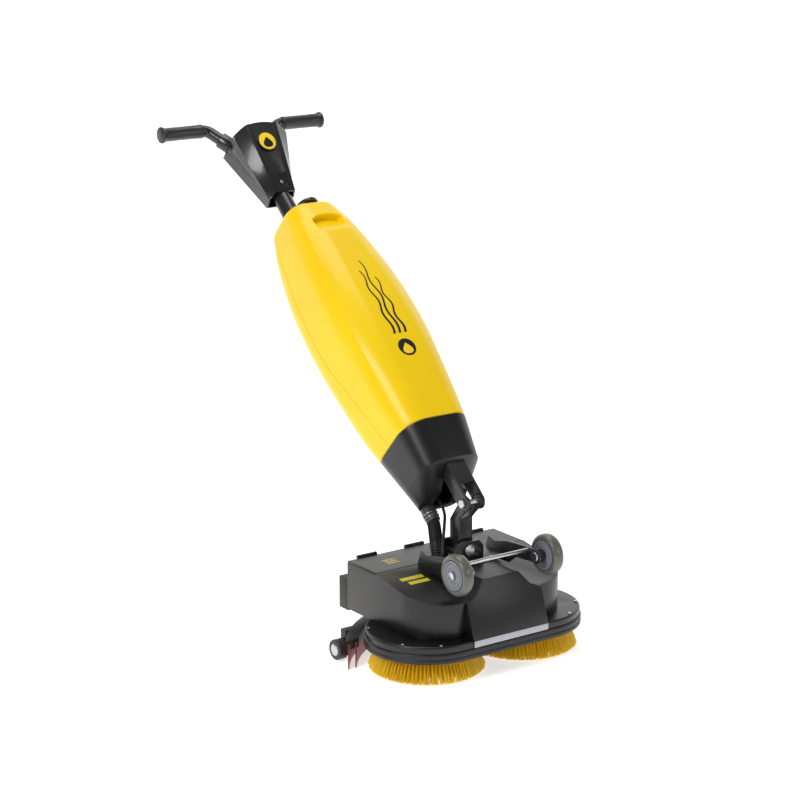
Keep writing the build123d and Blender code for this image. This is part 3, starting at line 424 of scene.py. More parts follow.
def lathe(name, profile, centre, axis, steps=64):
    """Turn a closed (radius, along) profile about an axis; all in millimetres."""
    axis = Vector(axis).normalized()
    across = axis.orthogonal().normalized()
    other = axis.cross(across)
    builder = bmesh.new()
    rings = []
    for k in range(steps):
        turn = 2 * pi * k / steps
        out = across * cos(turn) + other * sin(turn)
        rings.append([builder.verts.new((Vector(centre) + out * max(r, 0.0) + axis * a) / 1000)
                      for r, a in profile])
    for one, two in zip(rings, rings[1:] + rings[:1]):
        for i in range(len(profile)):
            j = (i + 1) % len(profile)
            if profile[i][0] <= 0 and profile[j][0] <= 0:
                continue
            corners = [one[i], one[j]]
            if profile[j][0] > 0:
                corners.append(two[j])
            if profile[i][0] > 0:
                corners.append(two[i])
            builder.faces.new(corners)
    return mesh_piece(name, builder)


tyre_rubber, tree, shader, place = new_finish("cast_polyurethane_tread", 0.3, ior=1.5, coat=0.25)
scuff = noise(tree, place, 160.0, 5.0)
colour_by(tree, shader, scuff, "#55564F", "#6A6B62")
gloss_by(tree, shader, scuff, 0.24, 0.42)
shader.inputs["Subsurface Weight"].default_value = 0.15
shader.inputs["Subsurface Radius"].default_value = (0.004, 0.004, 0.003)

hub_grey = moulded("moulded_polypropylene_grey", "#85858F", "#74747F", 0.34, 1.0, 0.03)

wheel_x, wheel_y, wheel_z = 107, -89, 206
half_width = 11.5
tyre_profile = rounded_profile([(28.6, -half_width), (36.5, -half_width), (40, -5.5), (40, 5.5),
                                (36.5, half_width), (28.6, half_width)], 4.0, 6)
hub_profile = [(10.2, -half_width + 0.4), (11.5, -half_width), (14, -half_width + 1.2),
               (15.5, -half_width + 1.4), (16.5, -half_width + 0.2), (21, -half_width + 0.2),
               (22, -half_width + 1.6), (23.4, -half_width + 1.6), (24.4, -half_width + 0.1),
               (28.3, -half_width + 0.1)]
hub_profile = hub_profile + [(r, -a) for r, a in reversed(hub_profile)]
hub_profile = hub_profile + [(6.2, half_width - 0.4), (6.2, -half_width + 0.4)]
for side, name in ((-1, "left"), (1, "right")):
    centre = (side * wheel_x, wheel_y, wheel_z)
    tread = lathe(f"tread_{name}", tyre_profile, centre, (1, 0, 0), 96)
    shade(tread, 60)
    settle(tread, tyre_rubber, f"wheel_{name}", "wheel_tread", f"wheel_tyre_{name}")
    core = lathe(f"wheel_core_{name}", hub_profile, centre, (1, 0, 0), 80)
    shade(core, 32)
    settle(core, hub_grey, f"wheel_{name}", "wheel_grey", f"wheel_hub_{name}")

# ---------------------------------------------------------------- steelwork
# The wheel arms, the yokes and the column bracket are folded and welded steel plate, powder-coated
# black. Pins, bolts and the cross rod are bright zinc-plated steel.

powder_coat, tree, shader, place = new_finish("black_powder_coat_on_steel", 0.34, coat=0.15)
colour_by(tree, shader, noise(tree, place, 60.0, 5.0), "#1E1D1F", "#2A292B")
orange_peel = add(tree, "ShaderNodeBump", {
    "Height": noise(tree, place, 700.0, 2.0), "Strength": 0.35, "Distance": 0.00006})
tree.links.new(orange_peel.outputs["Normal"], shader.inputs["Normal"])

zinc, tree, shader, place = new_finish("zinc_plated_steel", 0.24, metallic=1.0)
brushed = noise(tree, place, 300.0, 4.0)
colour_by(tree, shader, brushed, "#A9A9AC", "#D5D5D8")
gloss_by(tree, shader, brushed, 0.18, 0.36)

for name, node, body, width in (
        ("wheel_arms", "wheel_bracket", "root", 0.7), ("lower_yoke", "base_yoke", "root", 0.9),
        ("upper_yoke", "swivel_yoke", "yoke", 0.9),
        ("column_bracket", "tilt_bracket", "column", 0.8)):
    settle(rounded(name, node, width, 2), powder_coat, body, "black_steel", node)
settle(rounded("rod", "cross_rod", 0.4, 2), zinc, "root", "bright_steel", "cross_rod")
settle(rounded("hinge_knuckles", "lid_hinges", 0.5, 2), charcoal, "root", "bright_steel",
       "lid_hinges")
for name, node, body in (("axle_bolts", "wheel_bolts", "root"), ("roll_bolt", "roll_pin", "root"),
                         ("tilt_bolt", "tilt_pin", "column"),
                         ("deck_screws", "deck_fasteners", "root")):
    settle(rounded(name, node, 0.8, 3), zinc, body, "bright_steel", node)

# ---------------------------------------------------------------- column and motor cup
# The cup at the foot of the column is a tapered ABS moulding round the suction motor, with a broad
# chamfer under its front. The pole through the tanks is gloss-painted tube.

column_foot = Vector((0, 30, 290))
lean = radians(48)
column_up = Vector((0, sin(lean), cos(lean)))
column_back = Vector((0, cos(lean), -sin(lean)))


def on_column(x, back, length):
    """A point on the column from its sideways, rearward and lengthwise place, in metres."""
    return (column_foot + Vector((x, 0, 0)) + column_back * back + column_up * length) / 1000


settle(rounded("motor_housing", "motor_cup", 2.2, 4, 18.0), charcoal, "column",
       "charcoal_plastic", "motor_cup")

gloss_black = moulded("gloss_moulded_nylon_black", "#1C1B1D", "#171618", 0.24, 1.6, 0.02, coat=0.3)
paint(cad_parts["column_tube"], gloss_black)
paint(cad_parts["cup_cover"], charcoal)

# ---------------------------------------------------------------- tanks
# Two blow-moulded polyethylene tanks close round the pole like a clamshell: clean water in front
# with a moulded-in hand grip, dirty water behind. The wall is glossy yellow, with a moulded crease
# down each flank that fades out towards the foot.

# (length along the column, half width, front, back, corner radius)
tank_sections = np.array((
    (169, 80.5, 67, 100, 50), (215, 86, 71, 109, 54), (300, 92, 77, 116, 57),
    (400, 95, 82, 124, 60), (500, 91, 79, 126, 58), (600, 80, 68, 121, 53),
    (680, 67, 54, 106, 46), (735, 56, 38, 84, 38)), float)
seam_line = np.array(((100, 10), (168, 17), (271, 31), (400, 55), (500, 60), (650, 58),
                      (800, 50)), float)
pole_back = 46
groove = 21.5
seam_gap = 0.5
tank_foot, tank_top = 169, 735
flat_step, arc_steps = 1.5, 60


def spline(xs, ys, x):
    """A smooth curve through points, by Catmull-Rom slopes."""
    slopes = np.gradient(ys, xs)
    k = int(np.clip(np.searchsorted(xs, x) - 1, 0, len(xs) - 2))
    span = xs[k + 1] - xs[k]
    t = (x - xs[k]) / span
    return ((2 * t ** 3 - 3 * t ** 2 + 1) * ys[k] + (t ** 3 - 2 * t ** 2 + t) * span * slopes[k]
            + (3 * t ** 2 - 2 * t ** 3) * ys[k + 1] + (t ** 3 - t ** 2) * span * slopes[k + 1])


def section(length):
    """The pair's half width, front, back and corner radius at a length along the column."""
    return [spline(tank_sections[:, 0], tank_sections[:, i], length) for i in range(1, 5)]


def outline(length, inset):
    """Half of the tank pair's outline, from front to back, as (x, back) with outward normals."""
    half, front, back, corner = (size - inset for size in section(length))
    pieces = (((0, -front), (half - corner, -front), None),
              ((half - corner, corner - front), corner, (-pi / 2, 0)),
              ((half, corner - front), (half, back - corner), None),
              ((half - corner, back - corner), corner, (0, pi / 2)),
              ((half - corner, back), (0, back), None))
    points = []
    for one, two, arc in pieces:
        if arc is None:
            size = sqrt((two[0] - one[0]) ** 2 + (two[1] - one[1]) ** 2)
            steps = max(2, int(size / flat_step))
            for k in range(steps):
                t = k / steps
                points.append((one[0] + (two[0] - one[0]) * t, one[1] + (two[1] - one[1]) * t))
        else:
            for k in range(arc_steps):
                turn = arc[0] + (arc[1] - arc[0]) * k / arc_steps
                points.append((one[0] + two * cos(turn), one[1] + two * sin(turn)))
    points.append((0, back))
    points = np.array(points)
    tangent = np.gradient(points, axis=0)
    normal = np.stack((-tangent[:, 1], tangent[:, 0]), 1)
    normal /= np.linalg.norm(normal, axis=1)[:, None]
    if normal[len(points) // 2, 0] < 0:
        normal = -normal
    return points, normal


def crease_rise(points, length):
    """How far the flank crease stands up at each outline point, in millimetres."""
    half, front, _, corner = section(length)
    turn = radians(-34 - 10 * (length - 285) / 400)
    ridge = np.array((half - corner + corner * cos(turn), corner - front + corner * sin(turn)))
    reach = np.linalg.norm(points - ridge, axis=1)
    fade = np.clip((length - 250) / 150, 0, 1) * np.clip((722 - length) / 60, 0, 1)
    fade = fade * fade * (3 - 2 * fade)
    hollow = np.where(points[:, 1] > ridge[1], 1.0, 0.55) * np.exp(-((reach - 26) / 13) ** 2)
    return fade * (2.6 * np.exp(-reach / 7.0) - 1.3 * hollow)


def recess_depth(x, length):
    """How deep the hand grip is pressed in at a place on the front, in millimetres."""
    roof = 686 - 9 * (x / 36) ** 2
    side = np.clip((37 - abs(x)) / 9, 0, 1)
    under = np.clip((roof - length) / 3.0, 0, 1)
    floor = np.clip((length - 634) / 46, 0, 1)
    side, floor = side * side * (3 - 2 * side), floor * floor * (3 - 2 * floor)
    return 15 * side * under * floor


def tank_ring(length, inset, front_shell, columns=150):
    """One closed ring of a shell: its outer skin and the wall that faces its twin."""
    points, normal = outline(length, inset)
    points = points + normal * crease_rise(points, length)[:, None]
    seam = spline(seam_line[:, 0], seam_line[:, 1], length)
    edge = seam - seam_gap if front_shell else seam + seam_gap
    keep = points[:, 1] <= edge if front_shell else points[:, 1] >= edge
    last = np.nonzero(keep)[0][-1] if front_shell else np.nonzero(keep)[0][0]
    beyond = last + 1 if front_shell else last - 1
    share = (edge - points[last, 1]) / (points[beyond, 1] - points[last, 1])
    corner = points[last] + (points[beyond] - points[last]) * share
    half = points[:last + 1] if front_shell else points[last:][::-1]
    half = np.vstack((half, corner))
    away = np.concatenate(([0], np.cumsum(np.linalg.norm(np.diff(half, axis=0), axis=1))))
    wanted = np.linspace(0, away[-1], columns)
    side = np.stack([np.interp(wanted, away, half[:, i]) for i in (0, 1)], 1)
    if front_shell:
        for k in range(columns):
            if side[k, 1] < 0 and abs(side[k, 0]) < 45:
                side[k, 1] += recess_depth(side[k, 0], length)
    left = side[::-1] * (-1, 1)
    skin = np.vstack((left, side[1:]))
    # The inner wall runs back across, with a groove that clears the pole.
    behind = pole_back - edge
    wall = []
    through = (behind < groove) if front_shell else (behind > -groove)
    for turn in np.linspace(0, pi, 15):
        if front_shell:
            depth = min(edge, pole_back - groove * sin(turn)) if through else edge
        else:
            depth = max(edge, pole_back + groove * sin(turn)) if through else edge
        wall.append((groove * cos(turn), depth))
    wall = [(side[-1, 0] * 0.6, edge), (groove + 0.6, edge)] + wall + [
        (-groove - 0.6, edge), (-side[-1, 0] * 0.6, edge)]
    return np.vstack((skin, wall))


def tank_shell(name, front_shell):
    """A tank as rings stacked along the column, with a rounded shoulder and foot."""
    shoulder, foot = 16.0, 4.0
    stations = [(tank_foot + foot * (1 - cos(t)), foot * (1 - sin(t)))
                for t in np.linspace(0, pi / 2, 5)]
    stations += [(length, 0.0) for length in np.linspace(178, 630, 110)]
    stations += [(length, 0.0) for length in np.linspace(633, 690, 39)]
    stations += [(length, 0.0) for length in np.linspace(694, tank_top - shoulder, 8)]
    stations += [(tank_top - shoulder + shoulder * sin(t), shoulder * (1 - cos(t)))
                 for t in np.linspace(0.15, pi / 2, 9)]
    builder = bmesh.new()
    rings = []
    for length, inset in stations:
        rings.append([builder.verts.new(on_column(x, back, length))
                      for x, back in tank_ring(length, inset, front_shell)])
    bridge(builder, rings)
    builder.faces.new(rings[0])
    builder.faces.new(rings[-1])
    return mesh_piece(name, builder)


polyethylene, tree, shader, place = new_finish("blow_moulded_polyethylene_yellow", 0.34, ior=1.51,
                                               coat=0.12)
shader.inputs["Specular IOR Level"].default_value = 0.32
shader.inputs["Subsurface Weight"].default_value = 0.1
shader.inputs["Subsurface Radius"].default_value = (0.006, 0.004, 0.0006)
shader.inputs["Coat Roughness"].default_value = 0.16
colour_by(tree, shader, noise(tree, place, 5.0, 3.0), "#FACE00", "#FDD800", (0.25, 0.75))
# Blow-moulded skin has a slow ripple, about 12 mm long, and a fine grain from a sand-blasted mould.
skin = add(tree, "ShaderNodeBump", {
    "Height": noise(tree, place, 80.0, 1.0), "Strength": 0.12, "Distance": 0.0012})
fine = add(tree, "ShaderNodeBump", {
    "Height": noise(tree, place, 900.0, 2.0), "Strength": 0.2, "Distance": 0.00008,
    "Normal": skin.outputs["Normal"]})
tree.links.new(fine.outputs["Normal"], shader.inputs["Normal"])

for name, node, body, front_shell in (
        ("clean_water_tank", "solution_tank", "clean_tank", True),
        ("dirty_water_tank", "recovery_tank", "dirty_tank", False)):
    tank = tank_shell(name, front_shell)
    round_edges(tank, 1.4, 3, 55)
    shade(tank, 50)
    settle(tank, polyethylene, body, "tank_yellow", node)

settle(rounded("filler_cap", "fill_cap", 1.2, 3), gloss_black, "cap", "black_gloss", "fill_cap")

# ---------------------------------------------------------------- console and handlebar
# The console is a two-part nylon moulding clamped round the head of the pole, its face set in
# between two side rails. The T-handlebar is bent steel tube with rubber sleeves.


def box_between(name, corners):
    """A closed solid from eight corners, four of its foot and four of its head, in metres."""
    builder = bmesh.new()
    points = [builder.verts.new(c) for c in corners]
    for quad in ((0, 1, 2, 3), (4, 5, 6, 7), (0, 1, 5, 4), (1, 2, 6, 5), (2, 3, 7, 6),
                 (3, 0, 4, 7)):
        builder.faces.new([points[i] for i in quad])
    return mesh_piece(name, builder)


def console_face_back(length):
    """Where the console's front face lies, behind the column's line."""
    return 26.0 - 36.0 * (length - 811) / (970 - 811)


def face_pocket(name, low, high, half_low, half_high, depth):
    """A cutter that presses a panel of the console's face inwards."""
    corners = []
    for length, half in ((low, half_low), (high, half_high)):
        back = console_face_back(length)
        corners += [on_column(x, place, length) for x, place in (
            (-half, back - 6), (half, back - 6), (half, back + depth), (-half, back + depth))]
    return box_between(name, corners)


pockets = [face_pocket("upper_pocket", 853, 985, 17.5, 31, 1.8),
           face_pocket("lower_pocket", 822, 850, 14.5, 17.3, 2.2)]
settle(rounded("console_face", "console_front", 1.4, 3, 25.0, pockets), gloss_black,
       "column", "black_gloss", "console_front")
settle(rounded("console_rear", "console_back", 2.0, 3, 25.0), gloss_black,
       "column", "black_gloss", "console_back")
settle(rounded("switch_panel", "control_panel", 0.5, 2), charcoal, "column", "charcoal_plastic",
       "control_panel")
settle(rounded("bar_saddle", "bar_clamp", 1.0, 2), zinc, "column", "cast_alloy", "bar_clamp")
for key, code, slot in (("power", "#B0201C", "button_red"), ("brush", "#1F8A3C", "button_green"),
                        ("water", "#1C62B0", "button_blue")):
    cap_plastic = moulded(f"moulded_abs_key_{key}", code, code, 0.32, 0.8, 0.03)
    settle(rounded(f"{key}_key_cap", f"{key}_button", 0.5, 2), cap_plastic, f"{key}_key", slot,
           f"{key}_button")


def route_points(corners, radius, steps=10):
    """A path through corners with round bends."""
    path = [corners[0]]
    for before, here, after in zip(corners, corners[1:], corners[2:]):
        one, two = (before - here).normalized(), (after - here).normalized()
        half = one.angle(two) / 2
        reach = min(radius / np.tan(half), (before - here).length * 0.49,
                    (after - here).length * 0.49)
        path += bend(here + one * reach, here, here + two * reach, steps)
    path.append(corners[-1])
    return path


def tube(name, path, radii, sides=40):
    """A closed tube along a path with one radius for each point, ends capped."""
    builder = bmesh.new()
    rings = []
    across = None
    for k, centre in enumerate(path):
        ahead = (path[min(k + 1, len(path) - 1)] - path[max(k - 1, 0)]).normalized()
        across = ahead.orthogonal().normalized() if across is None else (
            across - ahead * across.dot(ahead)).normalized()
        other = ahead.cross(across)
        rings.append([builder.verts.new(centre + (across * cos(a) + other * sin(a)) * radii[k])
                      for a in (2 * pi * i / sides for i in range(sides))])
    bridge(builder, rings)
    builder.faces.new(rings[0])
    builder.faces.new(rings[-1])
    return mesh_piece(name, builder)


bar_back, bar_height = 53, 1009
bar_corners = [on_column(*place) for place in (
    (-194, bar_back, bar_height), (-86, bar_back, bar_height), (-44, pole_back, 940),
    (44, pole_back, 940), (86, bar_back, bar_height), (194, bar_back, bar_height))]
bar_path = route_points(bar_corners, 0.022, 14)
bar = tube("handlebar_tube", bar_path, [0.0125] * len(bar_path), 48)
shade(bar, 50)
settle(bar, gloss_black, "column", "black_gloss", "handlebar")
settle(rounded("bar_sockets", "bar_collars", 1.6, 3), gloss_black, "column", "black_gloss",
       "bar_collars")

grip_rubber = moulded("moulded_pvc_grip_black", "#29282C", "#1F1E21", 0.34, 1.2, 0.05, coat=0.12)
builder = bmesh.new()
for side in (-1, 1):
    inner, outer = (on_column(side * x, bar_back, bar_height) for x in (98, 197))
    # (share of the sleeve, radius): a lip, a long plain sleeve with a soft waist, an end flange
    shape = [(0.0, 13.0), (0.01, 14.2), (0.03, 14.6), (0.06, 14.6), (0.075, 14.2), (0.3, 14.0),
             (0.6, 14.0), (0.88, 14.3), (0.93, 15.0), (0.952, 16.4), (0.965, 17.0), (0.985, 17.0),
             (0.995, 16.6), (1.0, 15.6)]
    sleeve = tube("sleeve", [inner.lerp(outer, t) for t, r in shape],
                  [r / 1000 for t, r in shape], 48)
    builder.from_mesh(sleeve.data)
    bpy.data.objects.remove(sleeve)
sleeves = mesh_piece("grip_sleeves", builder)
shade(sleeves, 50)
settle(sleeves, grip_rubber, "column", "black_gloss", "grips")

# The badge is a domed yellow disc in a dark bezel, with a plain water drop.
badge_length = 925
above = badge_length + 25
badge_centre = on_column(0, console_face_back(badge_length), badge_length)
badge_up = (on_column(0, console_face_back(above), above) - badge_centre).normalized()
badge_out = Vector((1, 0, 0)).cross(badge_up).normalized()
badge_yellow = moulded("gloss_printed_polycarbonate_yellow", "#FFDE2A", "#F8D21A", 0.25, 2.0, 0.01,
                       coat=0.5)
ink = moulded("screen_printed_black_ink", "#17161A", "#121114", 0.35, 0.6, 0.01)


def disc_on_face(name, profile):
    """A turned disc set on the console's face; its profile is (radius, height)."""
    return lathe(name, profile, badge_centre * 1000, badge_out, 72)


bezel = disc_on_face("badge_bezel", rounded_profile(
    [(19.2, -1.5), (21.5, -1.5), (21.5, 1.5), (20.8, 1.9), (19.2, 1.2)], 0.3, 3))
shade(bezel, 40)
settle(bezel, ink, "column", "black_gloss")
face = disc_on_face("badge_disc", [(0, -1.5), (19.4, -1.5), (19.4, 1.1), (16, 1.5), (10, 1.75),
                                   (0, 1.8)])
shade(face, 40)
settle(face, badge_yellow, "column", "badge_yellow", "badge")


def drop_outline(size, count=28):
    """A plain water drop, point up, as (across, up)."""
    points = []
    for k in range(count):
        turn = 2 * pi * k / count
        points.append((0.62 * size * sin(turn) * sin(turn / 2) ** 1.2, -size * cos(turn) * -0.5
                       - 0.1 * size))
    return points


def sticker(name, points, to_surface, thickness_mm=0.12):
    """A thin printed film laid on a surface, from a closed outline."""
    builder = bmesh.new()
    ring = [builder.verts.new((x, y, 0)) for x, y in points]
    builder.faces.new(ring)
    bmesh.ops.triangulate(builder, faces=builder.faces)
    for _ in range(2):
        bmesh.ops.subdivide_edges(builder, edges=[e for e in builder.edges
                                                  if e.calc_length() > 6], cuts=1)
        bmesh.ops.triangulate(builder, faces=[f for f in builder.faces if len(f.verts) > 3])
    lower = {v: to_surface(v.co.x, v.co.y, -0.05) for v in builder.verts}
    upper = {v: to_surface(v.co.x, v.co.y, thickness_mm) for v in builder.verts}
    solid = bmesh.new()
    low = {v: solid.verts.new(lower[v]) for v in builder.verts}
    top = {v: solid.verts.new(upper[v]) for v in builder.verts}
    for flat in builder.faces:
        solid.faces.new([top[v] for v in flat.verts])
        solid.faces.new([low[v] for v in reversed(flat.verts[:])])
    for rim in builder.edges:
        if len(rim.link_faces) == 1:
            one, two = rim.verts
            solid.faces.new((low[one], low[two], top[two], top[one]))
    builder.free()
    return mesh_piece(name, solid)


def on_badge(x, y, out):
    """A place on the badge's face, in metres."""
    return badge_centre + (Vector((1, 0, 0)) * x + badge_up * y + badge_out * (1.75 + out)) / 1000


drop_mark = sticker("badge_drop", drop_outline(24), on_badge)
settle(drop_mark, ink, "column", "black_gloss")

screw_length = 833
console_screw = lathe("console_screw", rounded_profile(
    [(0, 0.4), (3.4, 0.4), (3.4, 1.4), (2.4, 2.2), (0, 2.2)], 0.4, 3),
    on_column(0, console_face_back(screw_length) + 1.6, screw_length) * 1000, badge_out, 32)
shade(console_screw, 40)
settle(console_screw, zinc, "column", "bright_steel")

# ---------------------------------------------------------------- printed marks
# The marks are screen-printed in one colour and carry no words: a drop in a ring with three wave
# lines on the clean-water tank, and plain yellow bars on the deck.


def on_tank(x, length, out):
    """A place on the front of the clean-water tank, in metres."""
    half, front, _, corner = section(length)
    beyond = max(abs(x) - (half - corner), 0.0)
    rise = sqrt(max(corner ** 2 - beyond ** 2, 0.0)) - corner
    return on_column(x, -(front + rise + out), length)


def moved(points, along):
    """An outline shifted along the column."""
    return [(x, y + along) for x, y in points]


def ring_points(radius, count=48):
    """A circle as an outline."""
    return [(radius * cos(2 * pi * k / count), radius * sin(2 * pi * k / count))
            for k in range(count)]


roundel_length = 327
roundel = sticker("tank_roundel", moved(ring_points(19.5), roundel_length), on_tank)
settle(roundel, ink, "clean_tank", "tank_yellow")
roundel_drop = sticker("tank_drop", moved(drop_outline(25), roundel_length), on_tank, 0.22)
settle(roundel_drop, badge_yellow, "clean_tank", "tank_yellow")
for k, (across, start, end) in enumerate(((-13, 360, 520), (0, 360, 546), (13, 360, 500))):
    stations = np.linspace(0, 1, 40)
    wave = [(across + 3.2 * sin(2 * pi * 2.5 * t), start + (end - start) * t) for t in stations]
    width = [2.9 * (1 - 0.55 * t) for t in stations]
    outline_points = [(x + w, y) for (x, y), w in zip(wave, width)]
    outline_points += [(x - w, y) for (x, y), w in zip(wave[::-1], width[::-1])]
    line = sticker(f"tank_wave_{k}", outline_points, on_tank)
    settle(line, ink, "clean_tank", "tank_yellow")

print_yellow = moulded("screen_printed_yellow_ink", "#E3D21A", "#CDBB12", 0.45, 0.6, 0.01)
deck_top = 178


def on_slope(x, y, out):
    """A place on the falling front of the deck, in metres."""
    return Vector((x, y, deck_top - 28 * (74 - y) / 149 + out)) / 1000


def on_lid(x, y, out):
    """A place on the battery lid, in metres."""
    return Vector((x, y, deck_top + out)) / 1000


for k, (left, right, back, front) in enumerate(((-150, -98, 38, 27), (-142, -96, 21, 10))):
    bar_outline = [(left, front), (right, front), (right, back), (left, back)]
    settle(sticker(f"deck_bar_{k}", bar_outline, on_slope), print_yellow, "root",
           "charcoal_plastic")
for k, y in enumerate((108, 118, 128)):
    dash = [(-126, y - 2), (-98, y - 2), (-98, y + 2), (-126, y + 2)]
    settle(sticker(f"lid_dash_{k}", dash, on_lid), print_yellow, "lid", "charcoal_plastic")

# ---------------------------------------------------------------- hose and cable
# A corrugated PVC suction hose runs from the deck to the motor cup beside the joint, held in a cuff
# by a wire clamp, with the motor cable beside it. Each crosses two joints, so it is two lengths
# that meet at their middle; neither length is attached to a body.

hose_pvc = moulded("extruded_flexible_pvc_black", "#1E1D1F", "#171618", 0.38, 1.0, 0.03)

rib_tree, given = new_tree("corrugated_hose", (
    ("Path", "Object", None), ("Radius", "Float", 0.012), ("Rib Depth", "Float", 0.0014),
    ("Rib Pitch", "Float", 0.0042), ("Sides", "Int", 32), ("Finish", "Material", None)))
source = add(rib_tree, "GeometryNodeObjectInfo", {"Object": given["Path"]})
step = add(rib_tree, "ShaderNodeMath", {0: given["Rib Pitch"], 1: 6.0}, operation="DIVIDE")
even = add(rib_tree, "GeometryNodeResampleCurve", {"Curve": source.outputs["Geometry"],
                                                   "Length": step.outputs[0]}, mode="LENGTH")
along = add(rib_tree, "GeometryNodeSplineParameter")
phase = add(rib_tree, "ShaderNodeMath", {0: along.outputs["Length"], 1: given["Rib Pitch"]},
            operation="DIVIDE")
angle = add(rib_tree, "ShaderNodeMath", {0: phase.outputs[0], 1: 2 * pi}, operation="MULTIPLY")
wave = add(rib_tree, "ShaderNodeMath", {0: angle.outputs[0]}, operation="COSINE")
depth = add(rib_tree, "ShaderNodeMath", {0: wave.outputs[0], 1: given["Rib Depth"]},
            operation="MULTIPLY")
half_depth = add(rib_tree, "ShaderNodeMath", {0: depth.outputs[0], 1: 0.5}, operation="MULTIPLY")
size = add(rib_tree, "ShaderNodeMath", {0: given["Radius"], 1: half_depth.outputs[0]},
           operation="ADD")
ring = add(rib_tree, "GeometryNodeCurvePrimitiveCircle", {"Resolution": given["Sides"],
                                                          "Radius": 1.0})
swept = add(rib_tree, "GeometryNodeCurveToMesh", {
    "Curve": even.outputs["Curve"], "Profile Curve": ring.outputs["Curve"],
    "Scale": size.outputs[0], "Fill Caps": True})
finish_tree(rib_tree, swept.outputs["Mesh"], given["Finish"])


def path_curve(name, points):
    """A poly curve through points, for a tree to sweep along."""
    curve = bpy.data.curves.new(name, "CURVE")
    curve.dimensions = "3D"
    line = curve.splines.new("POLY")
    line.points.add(len(points) - 1)
    for k, point in enumerate(points):
        line.points[k].co = (*point, 1.0)
    return new_object(name, curve)


hose_x, hose_back = -30, 70
cable_x, cable_back = -10, 50
rib_pitch = 0.0042
hose_low = Vector((-54, 46, 204)) / 1000
hose_high = on_column(hose_x, hose_back, 18)
hose_middle = (hose_low + hose_high) / 2
cable_low = Vector((-60, 22, 212)) / 1000
cable_high = on_column(cable_x, cable_back, 22)
cable_middle = (cable_low + cable_high) / 2
runs = (
    ("suction_hose_foot", "suction_hose_lower", ("root", "yoke"), 0.012, 0.0022,
     (Vector((-0.054, 0.046, 0.165)), hose_low, hose_middle)),
    ("suction_hose_head", "suction_hose_upper", ("yoke", "column"), 0.012, 0.0022,
     (hose_middle, hose_high, on_column(hose_x, hose_back, 56))),
    ("motor_cable_foot", "cable_lower", ("root", "yoke"), 0.003, 0.0,
     (Vector((-0.060, 0.022, 0.160)), cable_low, cable_middle)),
    ("motor_cable_head", "cable_upper", ("yoke", "column"), 0.003, 0.0,
     (cable_middle, cable_high, on_column(cable_x, cable_back, 62))),
)
for name, node, (first, second), radius, rib, corners in runs:
    reach = 0.45 * min((corners[1] - corners[0]).length, (corners[2] - corners[1]).length)
    half = (corners[0] - corners[1]).angle(corners[2] - corners[1]) / 2
    path = path_curve("path", route_points(corners, reach * np.tan(half), 16))
    line = run_tree(name, rib_tree, {
        "Path": path, "Radius": radius, "Rib Depth": rib, "Rib Pitch": rib_pitch,
        "Sides": 32 if rib else 16, "Finish": hose_pvc})
    bpy.data.objects.remove(path)
    shade(line, 70)
    paint(line, hose_pvc)
    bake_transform(line)
    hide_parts(node)

cuff_profile = rounded_profile([(12.2, -16), (14.2, -16), (14.6, -4), (15.4, -3), (15.4, 4),
                                (14.2, 5), (14.2, 24), (12.2, 24)], 0.6, 3)
cuff = lathe("hose_cuff", cuff_profile, on_column(hose_x, hose_back, 34) * 1000, column_up, 64)
shade(cuff, 50)
settle(cuff, moulded("moulded_pvc_cuff_grey", "#4C474E", "#3F3B42", 0.42, 1.0, 0.03), "column",
       "hose_rubber")
clamp_path = [on_column(hose_x, hose_back, 30) + (Vector((1, 0, 0)) * cos(a) + column_back * sin(a))
              * 0.0152 + column_up * 0.0035 * s
              for s in (-1, 1) for a in np.linspace(radians(-200), radians(120), 40)[::s]]
clamp = tube("wire_clamp", clamp_path, [0.0010] * len(clamp_path), 10)
shade(clamp, 60)
settle(clamp, zinc, "column", "bright_steel")

# ---------------------------------------------------------------- squeegee
# The squeegee is a curved polypropylene carrier with two red natural-rubber blades, a soft wheel at
# each end, and a spigot that draws the water up. Blades are calendered sheet with cut edges.

carrier = moulded("moulded_glass_filled_polypropylene_black", "#2A292B", "#1F1E20", 0.46, 1.0,
                  0.06)
blade_red = moulded("calendered_natural_rubber_red", "#A33A45", "#8A2C37", 0.42, 1.6, 0.03)
wheel_rubber = moulded("moulded_soft_rubber_black", "#343236", "#29272A", 0.5, 1.0, 0.05)
for name, node, width, finish, slot in (
        ("squeegee_carrier", "squeegee_body", 1.0, carrier, "charcoal_plastic"),
        ("blades", "squeegee_blades", 0.5, blade_red, "blade_rubber"),
        ("guide_pins", "squeegee_pins", 0.6, zinc, "bright_steel")):
    settle(rounded(name, node, width, 2), finish, "squeegee", slot, node)
roller_x, roller_y, roller_z = 227, 129, 20
for side, name in ((-1, "left"), (1, "right")):
    centre = (side * roller_x, roller_y, roller_z)
    profile = rounded_profile([(4.3, -10), (20, -10), (20, 10), (4.3, 10)], 2.6, 5)
    roller = lathe(f"end_roller_{name}", profile, centre, (1, 0, 0), 64)
    shade(roller, 50)
    settle(roller, wheel_rubber, f"caster_{name}", "bumper_rubber", f"end_wheel_{name}")
    cap = lathe(f"roller_cap_{name}", rounded_profile(
        [(0, 9.2), (11.5, 9.2), (11.5, 10.4), (9, 11.2), (0, 11.6)], 0.5, 3),
        centre, (side, 0, 0), 48)
    shade(cap, 40)
    settle(cap, zinc, f"caster_{name}", "bumper_rubber")

# ---------------------------------------------------------------- inside the covers
# Cast gearboxes, painted motors, a battery pack and the drive hubs are seen only past the covers.

